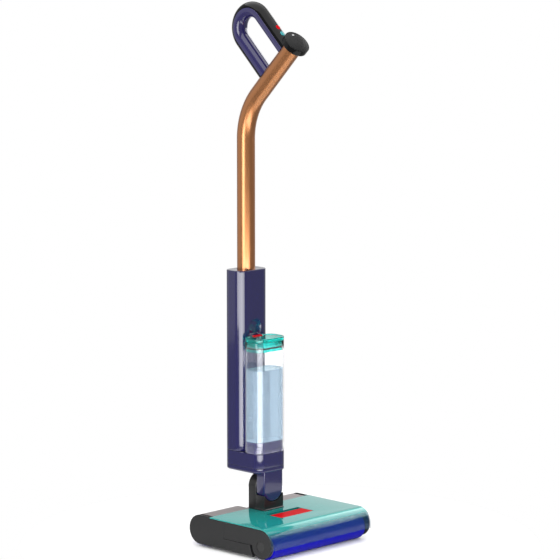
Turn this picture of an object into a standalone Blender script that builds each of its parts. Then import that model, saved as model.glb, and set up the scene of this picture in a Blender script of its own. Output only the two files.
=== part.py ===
"""Upright cordless wet dry floor scrubber: two rollers, a clear water tank, a bent pole and a loop handle.

Sizes are in millimetres and meshes are made in metres. X is the width, -Y the front, +Z up, floor at Z 0.
Parts are laid out about the head's centre, and MODEL_SHIFT_Y then centres the whole object on the origin.
"""
import math

import bmesh
import bpy
from mathutils import Matrix, Vector

MM = 0.001
GAP = 0.3

# Cleaning head
HEAD_HALF = 150.0
FRAME_INNER = 138.0
ARM_INNER = 146.0
HEAD_TOP = 68.5
UNDERSIDE = 6.0
COVER_THICKNESS = 2.6
COVER_REAR = 60.0
COVER_LIP = 26.0
COVER_ARC = (-91.0, 34.5)
COVER_RADIUS = 34.0
UNDER_COVER = HEAD_TOP - COVER_THICKNESS - GAP
REAR_ARC = (90.5, 37.2)
REAR_RADIUS = 31.2
NOTCH_HALF = 31.4
SEAM_Y = 18.0
SEAM_Z = 30.0
OPENING_RADIUS = 32.0
END_DISC_RADIUS = 25.5
GRIP_RADIUS = 11.0

# Rollers, brush bars and their drives, as (Y, Z) of each axis
FRONT_ROLLER = (-91.0, 29.7)
REAR_ROLLER = (88.5, 29.7)
PILE_RADIUS = 29.7
TUBE_RADIUS = 24.5
TUBE_BORE = 20.5
SPINDLE_RADIUS = 5.9
FRONT_BRUSH = (-54.5, 26.0)
REAR_BRUSH = (52.0, 26.0)
BRUSH_RADIUS = 6.6
MOTOR = (28.0, 19.2)
MOTOR_RADIUS = 11.0
MOTOR_PULLEY = 7.0
ROLLER_PULLEY = 14.0
BELT_THICKNESS = 1.2
BELT_PLAY = 0.2

# Yoke, with its pitch axis along X and the body's roll axis along Y
PITCH_AXIS = (55.0, 58.0)
ROLL_AXIS_Z = 115.5
YOKE_HALF = 28.6
YOKE_FRONT = 18.4
YOKE_ARM_FRONT = 43.6
YOKE_REAR = 67.0
YOKE_FOOT = 69.3
YOKE_HORN = 99.9
YOKE_CRADLE = 31.0
NECK_HALF = 28.5
NECK_RADIUS = 30.0
NECK_REAR = 43.2

# Upright body
BODY_HALF = 43.0
BODY_FRONT = 19.0
BODY_REAR = 128.0
BODY_CORNER = 20.0
BASE_BOTTOM = 148.0
BASE_SEAM = 159.0
RING_TOP = 190.0
HOUSING_FRONT = 73.7
HOUSING_TOP = 577.0
TANK_REAR = 73.2
TANK_WALL = 2.2
TANK_BASE_TOP = 214.0
LID_BOTTOM = 429.0
LID_TOP = 437.0
LID_PLUG = 408.0
SCOOP = (17.0, 437.0, 473.0)
SPIGOT_Z = 202.0

# Pole, loop handle and display, measured from the corner of the pole's centreline
POLE_RADIUS = 19.3
POLE_WALL = 1.6
POLE_Y = 100.7
POLE_FOOT = 520.0
POLE_CORNER_Z = 910.0
POLE_LEAN = math.radians(44.5)
POLE_BEND_RADIUS = 137.0
POLE_END = 200.0
LOOP_LOWER = 102.0
LOOP_UPPER = 180.0
LOOP_REACH = 109.0
LOOP_TUBE = 16.5
LOOP_WALL = 2.8
LOOP_COVER_DEG = 75.0
POWER_BUTTON = 59.0
MODE_BUTTON = 41.5
DISPLAY_RADIUS = 29.0
DISPLAY_TOP = 214.5

LEAN_UP = Vector((0, -math.sin(POLE_LEAN), math.cos(POLE_LEAN)))
LEAN_BACK = Vector((0, math.cos(POLE_LEAN), math.sin(POLE_LEAN)))
POLE_CORNER = Vector((0, POLE_Y, POLE_CORNER_Z))
LOOP_MIDDLE = (LOOP_LOWER + LOOP_UPPER) / 2
LOOP_BEND = (LOOP_UPPER - LOOP_LOWER) / 2
LOOP_CENTRE = POLE_CORNER + LEAN_UP * LOOP_MIDDLE + LEAN_BACK * LOOP_REACH
MODEL_FRONT = COVER_ARC[0] - COVER_RADIUS
MODEL_SHIFT_Y = -(LOOP_CENTRE.y + LOOP_BEND + LOOP_TUBE + MODEL_FRONT) / 2

# Local x, y, z of an outline and its thickness, for a piece that runs along X, Y or Z
FRAMES = {
    "X": Matrix(((0, 0, 1), (1, 0, 0), (0, 1, 0))),
    "Y": Matrix(((1, 0, 0), (0, 0, -1), (0, 1, 0))),
    "Z": Matrix.Identity(3),
}

# Colour (sRGB), roughness, metallic
FINISHES = {
    "charcoal": ((0.20, 0.20, 0.20), 0.45, 0.0),
    "black": ((0.08, 0.08, 0.08), 0.35, 0.0),
    "teal": ((0.10, 0.62, 0.58), 0.15, 0.0),
    "grey": ((0.66, 0.63, 0.64), 0.35, 0.0),
    "red": ((0.86, 0.06, 0.12), 0.35, 0.0),
    "pile": ((0.07, 0.05, 0.70), 0.95, 0.0),
    "purple": ((0.22, 0.21, 0.40), 0.20, 0.0),
    "violet": ((0.30, 0.28, 0.52), 0.20, 0.0),
    "copper": ((0.76, 0.45, 0.22), 0.30, 1.0),
    "clear": ((0.86, 0.90, 0.93), 0.05, 0.0),
    "steel": ((0.62, 0.63, 0.65), 0.30, 1.0),
    "rubber": ((0.05, 0.05, 0.05), 0.80, 0.0),
    "board": ((0.05, 0.25, 0.14), 0.50, 0.0),
    "cell": ((0.20, 0.30, 0.55), 0.40, 0.0),
}


def linear(channel):
    """Turn one sRGB channel into the linear value that a shader takes."""
    return channel / 12.92 if channel <= 0.04045 else ((channel + 0.055) / 1.055) ** 2.4


def paint(obj, finish):
    """Give an object its own Principled material."""
    colour, roughness, metallic = FINISHES[finish]
    material = bpy.data.materials.new(obj.name + "_" + finish)
    material.use_nodes = True
    shader = material.node_tree.nodes["Principled BSDF"]
    shader.inputs["Base Color"].default_value = (*map(linear, colour), 1.0)
    shader.inputs["Roughness"].default_value = roughness
    shader.inputs["Metallic"].default_value = metallic
    obj.data.materials.append(material)


class Model:
    """The collections and joint empties that the parts hang from."""

    def __init__(self):
        self.parts = self.collection("floor_scrubber")
        self.cutters = self.collection("cutters")
        self.empties = {}
        self.joint("head", (0, 0, 0), None)
        self.empties["head"].location = (0, MODEL_SHIFT_Y * MM, 0)

    def collection(self, name):
        made = bpy.data.collections.new(name)
        bpy.context.scene.collection.children.link(made)
        return made

    def joint(self, name, point, parent):
        """Put an empty on a joint's axis, given its point in millimetres."""
        empty = bpy.data.objects.new(name + "_joint", None)
        empty["point"] = [value * MM for value in point]
        self.parts.objects.link(empty)
        empty.location = Vector(empty["point"])
        if parent:
            empty.parent = self.empties[parent]
            empty.location = Vector(empty["point"]) - Vector(self.empties[parent]["point"])
        self.empties[name] = empty

    def hang(self, obj, body):
        """Parent an object to a joint's empty without moving it."""
        empty = self.empties[body]
        obj.parent = empty
        obj.matrix_parent_inverse = Matrix.Translation(-Vector(empty["point"]))

    def part(self, obj, body, finish):
        """Keep an object as one of the parts."""
        self.parts.objects.link(obj)
        self.hang(obj, body)
        paint(obj, finish)
        obj.data.shade_smooth()
        obj.data.set_sharp_from_angle(angle=math.radians(30))
        return obj

    def boolean(self, target, other, operation):
        """Cut or join another solid, which stays in the scene as a hidden guide."""
        self.cutters.objects.link(other)
        other.parent = target.parent
        other.matrix_parent_inverse = target.matrix_parent_inverse
        other.hide_render = True
        other.display_type = "WIRE"
        modifier = target.modifiers.new(operation.lower(), "BOOLEAN")
        modifier.operation = operation
        modifier.solver = "EXACT"
        modifier.object = other

    def cut(self, target, *others):
        for other in others:
            self.boolean(target, other, "DIFFERENCE")

    def join(self, target, *others):
        for other in others:
            self.boolean(target, other, "UNION")


# Outlines, as lists of (a, b) in millimetres

def arc(centre, radius, start, end, steps):
    """Points of an arc from one angle to another, in degrees."""
    angles = [math.radians(start + (end - start) * i / steps) for i in range(steps + 1)]
    return [(centre[0] + radius * math.cos(t), centre[1] + radius * math.sin(t)) for t in angles]


def circle(centre, radius, steps=32):
    return arc(centre, radius, 0, 360 * (steps - 1) / steps, steps - 1)


def oval(centre, half_a, half_b, steps=24):
    return [(centre[0] + half_a * a, centre[1] + half_b * b) for a, b in circle((0, 0), 1.0, steps)]


def rectangle(a0, a1, b0, b1):
    return [(a0, b0), (a1, b0), (a1, b1), (a0, b1)]


def rounded(a0, a1, b0, b1, radius, steps=5):
    """A rectangle with round corners."""
    points = arc((a1 - radius, b0 + radius), radius, -90, 0, steps)
    points += arc((a1 - radius, b1 - radius), radius, 0, 90, steps)
    points += arc((a0 + radius, b1 - radius), radius, 90, 180, steps)
    points += arc((a0 + radius, b0 + radius), radius, 180, 270, steps)
    return points


def body_section(front, rear, inset=0.0):
    """The upright's rounded section, pulled in by an inset."""
    half = BODY_HALF - inset
    return rounded(-half, half, front + inset, rear - inset, BODY_CORNER - inset)


def wrap(first, second, extra, steps=10):
    """A taut loop round two circles, each given as ((a, b), radius), standing off them by extra."""
    (a0, b0), r0 = first
    (a1, b1), r1 = second
    heading = math.degrees(math.atan2(b1 - b0, a1 - a0))
    spread = math.degrees(math.acos((r0 - r1) / math.hypot(a1 - a0, b1 - b0)))
    points = arc((a0, b0), r0 + extra, heading + spread, heading + 360 - spread, steps)
    return points + arc((a1, b1), r1 + extra, heading - spread, heading + spread, steps)


# Solids

def prism(name, outlines, axis, low, high):
    """Extrude flat outlines, the first round the others, between two stations on an axis."""
    data = bpy.data.curves.new(name, "CURVE")
    data.dimensions = "2D"
    data.fill_mode = "BOTH"
    data.extrude = (high - low) / 2 * MM
    for outline in outlines:
        spline = data.splines.new("POLY")
        spline.points.add(len(outline) - 1)
        for point, (a, b) in zip(spline.points, outline):
            point.co = (a * MM, b * MM, 0, 1)
        spline.use_cyclic_u = True
    curve = bpy.data.objects.new(name + "_outline", data)
    bpy.context.scene.collection.objects.link(curve)
    evaluated = curve.evaluated_get(bpy.context.evaluated_depsgraph_get())
    mesh = bpy.data.meshes.new_from_object(evaluated)
    bpy.data.objects.remove(curve)
    weld(mesh)
    middle = FRAMES[axis] @ Vector((0, 0, (high + low) / 2 * MM))
    if axis == "Y":
        middle = -middle
    mesh.transform(Matrix.Translation(middle) @ FRAMES[axis].to_4x4())
    return bpy.data.objects.new(name, mesh)


def weld(mesh):
    """Merge loose caps and turn every face outward."""
    shape = bmesh.new()
    shape.from_mesh(mesh)
    bmesh.ops.remove_doubles(shape, verts=shape.verts, dist=1e-6)
    bmesh.ops.recalc_face_normals(shape, faces=shape.faces)
    shape.to_mesh(mesh)
    shape.free()


def disc(name, centre, radius, axis, low, high, steps=32):
    """A cylinder along an axis."""
    return prism(name, [circle(centre, radius, steps)], axis, low, high)


def ring(name, centre, outer, inner, axis, low, high, steps=32):
    """A tube along an axis."""
    return prism(name, [circle(centre, outer, steps), circle(centre, inner, steps)], axis, low, high)


def box(name, x, y, z):
    """A block between pairs of stations."""
    return prism(name, [rectangle(x[0], x[1], y[0], y[1])], "Z", z[0], z[1])


def turned(name, profile, place, steps=32):
    """Turn a profile of (radius, height) points, listed down its outer side, about local Z."""
    mesh = bpy.data.meshes.new(name)
    points = [(radius * MM, 0, height * MM) for radius, height in profile]
    edges = [(i, i + 1) for i in range(len(points) - 1)]
    if profile[0][0] > 0:
        edges.append((len(points) - 1, 0))
    mesh.from_pydata(points, edges, [])
    obj = bpy.data.objects.new(name, mesh)
    screw = obj.modifiers.new("turn", "SCREW")
    screw.steps = steps
    screw.render_steps = steps
    screw.use_merge_vertices = True
    screw.merge_threshold = 0.00001
    obj.matrix_basis = place
    return obj


def along(axis, a, b):
    """The place of a turned piece on an axis along X, Y or Z, at (a, b) across it."""
    frame = FRAMES[axis].to_4x4()
    return Matrix.Translation(frame @ Vector((a * MM, b * MM, 0))) @ frame


def on_lean(reach_up, reach_back):
    """The place of a piece that stands along the leaning end of the pole."""
    point = (POLE_CORNER + LEAN_UP * reach_up + LEAN_BACK * reach_back) * MM
    turn = Matrix((Vector((1, 0, 0)), LEAN_BACK, LEAN_UP)).transposed()
    return Matrix.Translation(point) @ turn.to_4x4()


def leaning_prism(name, outlines, low, high, back=0.0):
    """A prism that stands along the leaning end of the pole."""
    obj = prism(name, outlines, "Z", low, high)
    obj.data.transform(on_lean(0, back))
    return obj


# Cleaning head

def side_outline(front_point):
    """The head's side outline from the cover's rear edge round the tail to the underside."""
    points = [front_point, (COVER_REAR, UNDER_COVER), (COVER_REAR, REAR_ARC[1] + REAR_RADIUS)]
    return points + arc(REAR_ARC, REAR_RADIUS, 90, -90, 14)


def opening_arc(centre, top_deg, steps=8):
    """The edge of a frame round a roller, from the underside up."""
    low = math.degrees(math.asin((UNDERSIDE - centre[1]) / OPENING_RADIUS))
    return arc(centre, OPENING_RADIUS, low, top_deg, steps)


def belt_paths():
    """The wrapped circles of the front and rear drive belts."""
    motor = (MOTOR, MOTOR_PULLEY)
    front = ((FRONT_ROLLER, ROLLER_PULLEY), motor)
    rear = (motor, (REAR_ROLLER, ROLLER_PULLEY))
    return {"front": front, "rear": rear}


def brush_pulley_radius(side):
    """The radius that brings a brush pulley onto the belt's nearer run."""
    (first, r0), (second, r1) = belt_paths()[side]
    brush = FRONT_BRUSH if side == "front" else REAR_BRUSH
    share = (brush[0] - first[0]) / (second[0] - first[0])
    middle = first[1] + (second[1] - first[1]) * share
    return r0 + (r1 - r0) * share - abs(brush[1] - middle) - GAP


def make_frames(model):
    """The two side frames: a deep inner layer with the belt pocket, and a flush outer layer."""
    rear_lift = REAR_ARC[1] + REAR_RADIUS
    left_inner = side_outline((FRONT_ROLLER[0], UNDER_COVER)) + opening_arc(FRONT_ROLLER, 90)
    seam_angle = math.degrees(math.asin((SEAM_Z - GAP - FRONT_ROLLER[1]) / OPENING_RADIUS))
    left_outer = side_outline((SEAM_Y, UNDER_COVER)) + opening_arc(FRONT_ROLLER, seam_angle, 5)
    left_outer += [(SEAM_Y, SEAM_Z - GAP)]
    left = prism("left_side_frame", [left_inner], "X", -ARM_INNER + GAP, -FRAME_INNER)
    model.part(left, "head", "charcoal")
    model.join(left, prism("left_skin", [left_outer], "X", -HEAD_HALF, -ARM_INNER + 1))
    pocket = wrap(*belt_paths()["rear"], 2.0)
    model.cut(left, prism("left_pocket", [pocket], "X", -FRAME_INNER - 6.5, -FRAME_INNER + 1))
    model.cut(left, disc("left_brush_hole", FRONT_BRUSH, 2.4, "X", -143.6, -137, 16))

    nose = arc(COVER_ARC, COVER_RADIUS - COVER_THICKNESS - GAP, 90, 180, 8)
    nose += arc((COVER_ARC[0] - 2.6, COVER_ARC[1]), COVER_ARC[1] - UNDERSIDE, 180, 270, 7)
    mirrored = [(2 * REAR_ROLLER[0] - a, b) for a, b in opening_arc(REAR_ROLLER, 90)]
    right_inner = nose + mirrored + [(REAR_ROLLER[0], rear_lift)]
    right_inner += [(COVER_REAR, rear_lift), (COVER_REAR, UNDER_COVER)]
    low = [(2 * REAR_ROLLER[0] - a, b) for a, b in opening_arc(REAR_ROLLER, seam_angle, 5)]
    right_outer = nose + low + [(-SEAM_Y, SEAM_Z - GAP), (-SEAM_Y, UNDER_COVER)]
    right = prism("right_side_frame", [right_inner], "X", FRAME_INNER, ARM_INNER - GAP)
    model.part(right, "head", "charcoal")
    model.join(right, prism("right_skin", [right_outer], "X", ARM_INNER - 1, HEAD_HALF))
    pocket = wrap(*belt_paths()["front"], 2.0)
    model.cut(right, prism("right_pocket", [pocket], "X", FRAME_INNER - 1, FRAME_INNER + 6.5))
    model.cut(right, disc("right_brush_hole", REAR_BRUSH, 2.4, "X", 137, 143.6, 16))


def make_chassis(model):
    """The pan between the rollers, with the yoke's ears and the shield behind the yoke."""
    pan = [(-46.6, UNDERSIDE), (44.4, UNDERSIDE), (44.4, 40), (42.2, 40), (42.2, 8.2)]
    pan += [(-44.4, 8.2), (-44.4, 38), (-46.6, 38)]
    edge = FRAME_INNER - GAP
    chassis = model.part(prism("head_chassis", [pan], "X", -edge, edge), "head", "black")
    ear = [(42.3, 34.8), (50, 35.5), (64.5, 48), (66.5, 52)] + arc(PITCH_AXIS, 7.2, 0, 180, 8)
    ear += [(42.3, 40.1)]
    for low in (-37.0, 31.6):
        model.join(chassis, prism("ear", [ear], "X", low, low + 5.4))
    shield = arc(REAR_ROLLER, PILE_RADIUS + 1.2, 10, 140, 14) + arc(REAR_ROLLER, PILE_RADIUS + 0.4, 140, 10, 14)
    model.join(chassis, prism("shield", [shield], "X", -36, 36))
    model.cut(chassis, disc("pivot_bore", PITCH_AXIS, 4.3, "X", -40, 40, 20))
    pin = disc("yoke_pivot_pin", PITCH_AXIS, 4.0, "X", -37.4, 37.4, 20)
    model.part(pin, "head", "steel")


def make_rear_strip(model):
    """The grey rear deck that bends down over the rear roller, with the yoke's notch."""
    edge = FRAME_INNER - GAP
    top = REAR_ARC[1] + REAR_RADIUS
    outline = [(COVER_REAR + GAP, top)] + arc(REAR_ARC, REAR_RADIUS, 90, -5, 12)
    outline += arc(REAR_ARC, REAR_RADIUS - 2, -5, 90, 12) + [(COVER_REAR + GAP, top - 2)]
    strip = model.part(prism("rear_deck_strip", [outline], "X", -edge, edge), "head", "grey")
    notch = [(-NOTCH_HALF, 50), (NOTCH_HALF, 50)]
    notch += arc((NOTCH_HALF - 6, 112), 6, 0, 90, 4) + arc((6 - NOTCH_HALF, 112), 6, 90, 180, 4)
    model.cut(strip, prism("strip_notch", [notch], "Z", 40, 80))


def make_cover(model):
    """The see-through cover with the yoke's notch and the well of the release button."""
    inner = COVER_RADIUS - COVER_THICKNESS
    outline = [(COVER_REAR, HEAD_TOP)] + arc(COVER_ARC, COVER_RADIUS, 90, 180, 12)
    outline += [(MODEL_FRONT, COVER_LIP), (MODEL_FRONT + COVER_THICKNESS, COVER_LIP)]
    outline += arc(COVER_ARC, inner, 180, 90, 12) + [(COVER_REAR, HEAD_TOP - COVER_THICKNESS)]
    cover = model.part(prism("head_cover", [outline], "X", -HEAD_HALF, HEAD_HALF), "cover", "teal")
    model.join(cover, box("well", (-50.5, 50.5), (-54.5, -2.7), (57, 67)))
    model.cut(cover, box("well_cut", (-48.3, 48.3), (-52.4, -4.7), (59, 80)))
    notch = arc((6 - NOTCH_HALF, 22), 6, 180, 270, 4) + arc((NOTCH_HALF - 6, 22), 6, 270, 360, 4)
    notch += [(NOTCH_HALF, 80), (-NOTCH_HALF, 80)]
    model.cut(cover, prism("cover_notch", [notch], "Z", 50, 80))
    button = prism("tray_release_button", [rectangle(-52, -17, 59.4, 68.3)], "X", -47.9, 47.9)
    model.part(button, "release", "red")
    model.cut(button, box("button_hollow", (-45, 45), (-49, -20), (50, 66)))


def make_tanks(model):
    """The dirty water tank, the debris tray that hangs in it, the wipers and the water bars."""
    tank = box("dirty_water_tank", (-134, 134), (-44.1, 13.9), (8.5, 54))
    model.part(tank, "head", "black")
    model.cut(tank, box("tank_hollow", (-132.6, 132.6), (-42.7, 12.5), (9.9, 60)))
    tray = box("debris_tray", (-132.2, 132.2), (-42.3, 12.1), (30, 55.5))
    model.part(tray, "head", "grey")
    model.join(tray, box("tray_rim", (-134, 134), (-44.1, 13.9), (54.3, 56)))
    model.cut(tray, box("tray_hollow", (-130.6, 130.6), (-40.7, 10.5), (31.6, 60)))
    slots = [rectangle(x - 14, x + 14, y - 2, y + 2) for x in range(-100, 101, 50) for y in (-25, -5)]
    model.cut(tray, prism("tray_slots", slots, "Z", 29, 33))
    blade = [(-46.6, 38.4), (-44.7, 38.4), (-44.7, 40.2), (-66.4, 50.6), (-67.4, 49.2)]
    model.part(prism("front_wiper", [blade], "X", -136, 136), "head", "rubber")
    blade = [(42.4, 40.4), (44.4, 40.4), (64.7, 48.4), (64.0, 49.8), (42.4, 42.4)]
    for side, low in (("left", -136), ("right", 40)):
        model.part(prism(f"rear_wiper_{side}", [blade], "X", low, low + 96), "head", "rubber")
    model.part(ring("front_water_bar", (-62, 57), 3.2, 1.8, "X", -137, 137, 16), "head", "grey")


def make_roller(model, end, axis, way):
    """One roller cassette. way is -1 where it pulls out to the left, +1 to the right."""
    def span(low, high):
        return (low, high) if way > 0 else (-high, -low)

    pile = ring(f"{end}_roller_pile", axis, PILE_RADIUS, TUBE_RADIUS + GAP, "X", *span(-137.2, 137.4), 48)
    model.part(pile, f"{end}_roller", "pile")
    tube = ring(f"{end}_roller_tube", axis, TUBE_RADIUS, TUBE_BORE, "X", *span(-136.5, 136.5), 40)
    model.part(tube, f"{end}_roller", "grey")
    bearing = ring(f"{end}_roller_bearing", axis, TUBE_BORE - GAP, SPINDLE_RADIUS + 0.3, "X", *span(127, 135))
    model.part(bearing, f"{end}_roller", "steel")

    if way < 0:
        plate = [(SEAM_Y - GAP, UNDER_COVER)]
        plate += arc(COVER_ARC, COVER_RADIUS - COVER_THICKNESS - GAP, 90, 176, 9)
        plate += arc(axis, END_DISC_RADIUS, 205, 360.7, 16) + [(SEAM_Y - GAP, SEAM_Z)]
    else:
        lift = REAR_ARC[1] + REAR_RADIUS
        plate = [(GAP - SEAM_Y, UNDER_COVER), (COVER_REAR, UNDER_COVER), (COVER_REAR, lift)]
        plate += arc(REAR_ARC, REAR_RADIUS, 90, 4, 9)
        plate += arc(axis, END_DISC_RADIUS, -25, -180.7, 16) + [(GAP - SEAM_Y, SEAM_Z)]
    body = f"{end}_cassette"
    shell = prism(f"{end}_roller_end_plate", [plate], "X", *span(ARM_INNER, HEAD_HALF))
    model.part(shell, body, "charcoal")
    model.join(shell, disc("end_boss", axis, END_DISC_RADIUS, "X", *span(138.3, ARM_INNER + 1)))
    model.join(shell, disc("spindle", axis, SPINDLE_RADIUS, "X", *span(120, 139), 20))
    model.cut(shell, disc("grip_seat", axis, GRIP_RADIUS + GAP, "X", *span(HEAD_HALF - 2.2, 152)))
    grip = disc(f"{end}_roller_grip", axis, GRIP_RADIUS, "X", *span(HEAD_HALF - 1.9, HEAD_HALF))
    model.part(grip, body, "rubber")


def make_drive(model, end, axis, brush, way):
    """The motor, belt, pulleys and brush bar on the fixed side of a roller."""
    def span(low, high):
        return (low, high) if way > 0 else (-high, -low)

    motor = disc(f"{end}_drive_motor", MOTOR, MOTOR_RADIUS, "X", *span(62, 137), 28)
    model.part(motor, "head", "steel")
    pulley = ring(f"{end}_motor_pulley", MOTOR, MOTOR_PULLEY, 2, "X", *span(138.8, 143.6), 24)
    model.part(pulley, f"{end}_motor", "steel")
    hub = disc(f"{end}_drive_hub", axis, ROLLER_PULLEY, "X", *span(138.8, 143.6))
    model.part(hub, f"{end}_hub", "black")
    model.join(hub, disc("hub_neck", axis, 10, "X", *span(133, 140)))
    model.join(hub, disc("hub_driver", axis, TUBE_BORE - GAP, "X", *span(126, 134)))
    path = belt_paths()[end]
    loops = [wrap(*path, BELT_PLAY + BELT_THICKNESS), wrap(*path, BELT_PLAY)]
    model.part(prism(f"{end}_drive_belt", loops, "X", *span(139.2, 143.2)), "head", "rubber")
    bar = disc(f"{end}_brush_bar", brush, BRUSH_RADIUS, "X", -137, 137, 20)
    model.part(bar, f"{end}_brush", "black")
    model.join(bar, disc("brush_stub", brush, 2, "X", -143, 143, 12))
    wheel = ring(f"{end}_brush_pulley", brush, brush_pulley_radius(end), 2.3, "X", *span(139.2, 143), 24)
    model.part(wheel, f"{end}_brush", "black")


# Yoke and upright body

def make_yoke(model):
    """The yoke: a tall rear arm, a cradle in front of it and the pitch barrel below."""
    arm = [(-YOKE_HALF, YOKE_FOOT), (YOKE_HALF, YOKE_FOOT)] + arc((0, ROLL_AXIS_Z), YOKE_HALF, 0, 180, 18)
    yoke = model.part(prism("yoke", [arm], "Y", YOKE_ARM_FRONT, YOKE_REAR), "yoke", "black")
    side = math.degrees(math.asin((YOKE_HORN - ROLL_AXIS_Z) / YOKE_CRADLE))
    cradle = [(-YOKE_HALF, YOKE_FOOT), (YOKE_HALF, YOKE_FOOT), (YOKE_HALF, YOKE_HORN)]
    cradle += arc((0, ROLL_AXIS_Z), YOKE_CRADLE, side, -180 - side, 14) + [(-YOKE_HALF, YOKE_HORN)]
    model.join(yoke, prism("cradle", [cradle], "Y", YOKE_FRONT, YOKE_ARM_FRONT + 1))
    web = [(30, YOKE_FOOT + 1), (46.3, 57), (63.7, 57), (66, YOKE_FOOT + 1)]
    model.join(yoke, prism("web", [web], "X", -YOKE_HALF + 1, YOKE_HALF - 1))
    model.join(yoke, disc("barrel", PITCH_AXIS, 9, "X", -YOKE_HALF, YOKE_HALF, 24))
    skirt = rounded(-30.8, 30.8, YOKE_FRONT - 2, 50, 5, 3)
    model.join(yoke, prism("skirt", [skirt], "Z", YOKE_FOOT - 0.2, YOKE_FOOT + 2))
    model.cut(yoke, disc("pitch_bore", PITCH_AXIS, 4.3, "X", -35, 35, 20))
    model.cut(yoke, disc("roll_bore", (0, ROLL_AXIS_Z), 5.3, "Y", 40, 70, 20))
    shank = [(0, -24), (5, -24), (5, -67.3), (9, -67.3), (9, -69.5), (0, -69.5)]
    pin = turned("roll_pin", shank, along("Y", 0, ROLL_AXIS_Z), 20)
    model.part(pin, "yoke", "steel")


def make_base(model):
    """The neck with its lower base, and the ring that carries the tank and the housing."""
    section = body_section(BODY_FRONT, BODY_REAR)
    neck = model.part(prism("neck", [section], "Z", BASE_BOTTOM, BASE_SEAM - GAP), "body", "purple")
    model.cut(neck, prism("neck_hollow", [body_section(BODY_FRONT, BODY_REAR, 2.5)], "Z", 151, 162))
    side = math.degrees(math.acos(NECK_HALF / NECK_RADIUS))
    tongue = [(NECK_HALF, BASE_BOTTOM + 4), (-NECK_HALF, BASE_BOTTOM + 4)]
    tongue += arc((0, ROLL_AXIS_Z), NECK_RADIUS, 180 + side, 360 - side, 14)
    model.join(neck, prism("tongue", [tongue], "Y", BODY_FRONT, NECK_REAR))
    model.cut(neck, disc("neck_bore", (0, ROLL_AXIS_Z), 5.3, "Y", 22.5, 45, 20))
    base = model.part(prism("base_ring", [section], "Z", BASE_SEAM, RING_TOP - GAP), "body", "purple")
    hollow = body_section(BODY_FRONT, BODY_REAR, 2.5)
    model.cut(base, prism("ring_hollow", [hollow], "Z", 157, RING_TOP - 3.3))
    model.cut(base, prism("pump_hole", [rounded(-30, 30, 84, 119, 6)], "Z", 180, 195))


def make_housing(model):
    """The rear column, open below, with the pole's hole and the thumb scoop."""
    shell = prism("housing_shell", [body_section(HOUSING_FRONT, BODY_REAR)], "Z", RING_TOP, HOUSING_TOP)
    model.part(shell, "body", "purple")
    inner = body_section(HOUSING_FRONT, BODY_REAR, 2.5)
    model.cut(shell, prism("housing_hollow", [inner], "Z", RING_TOP - 2, HOUSING_TOP - 3))
    model.cut(shell, disc("pole_hole", (0, POLE_Y), POLE_RADIUS + GAP, "Z", 560, 590))
    model.cut(shell, disc("socket_hole", (0, SPIGOT_Z), 9.3, "Y", 70, 80, 24))
    model.join(shell, box("scoop_wall", (-22, 22), (75, 86), (430, 482)))
    half, low, high = SCOOP
    scoop = [(-half, low), (half, low)] + arc((0, high - half), half, 0, 180, 14)
    model.cut(shell, prism("scoop", [scoop], "Y", 70, 83))
    collar = ring("pole_collar", (0, POLE_Y), 24, POLE_RADIUS + GAP, "Z", POLE_FOOT + 2, 560)
    model.part(collar, "body", "black")
    battery = prism("battery_pack", [rounded(-32, 32, 82, 121, 8)], "Z", 222, 412)
    model.part(battery, "body", "cell")
    model.part(box("control_board", (-27, 27), (112, 113.6), (420, 512)), "body", "board")
    pump = prism("water_pump", [rounded(-19, 19, 88, 116, 6)], "Z", 163, 197)
    model.part(pump, "body", "black")
    socket = ring("tank_socket", (0, SPIGOT_Z), 9, 5.5, "Y", 74.2, 86, 24)
    model.part(socket, "body", "rubber")


def make_hose(model):
    """The hose from the tank socket over to the pump."""
    data = bpy.data.curves.new("pump_hose", "CURVE")
    data.dimensions = "3D"
    data.bevel_depth = 3.0 * MM
    data.bevel_resolution = 2
    data.use_fill_caps = True
    spline = data.splines.new("POLY")
    route = [(86.4, SPIGOT_Z)] + arc((97, 203), 6.5, 150, 0, 8) + [(103.5, 197.6)]
    spline.points.add(len(route) - 1)
    for point, (y, z) in zip(spline.points, route):
        point.co = (0, y * MM, z * MM, 1)
    curve = bpy.data.objects.new("hose_line", data)
    bpy.context.scene.collection.objects.link(curve)
    evaluated = curve.evaluated_get(bpy.context.evaluated_depsgraph_get())
    mesh = bpy.data.meshes.new_from_object(evaluated)
    bpy.data.objects.remove(curve)
    weld(mesh)
    model.part(bpy.data.objects.new("pump_hose", mesh), "body", "rubber")


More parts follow.
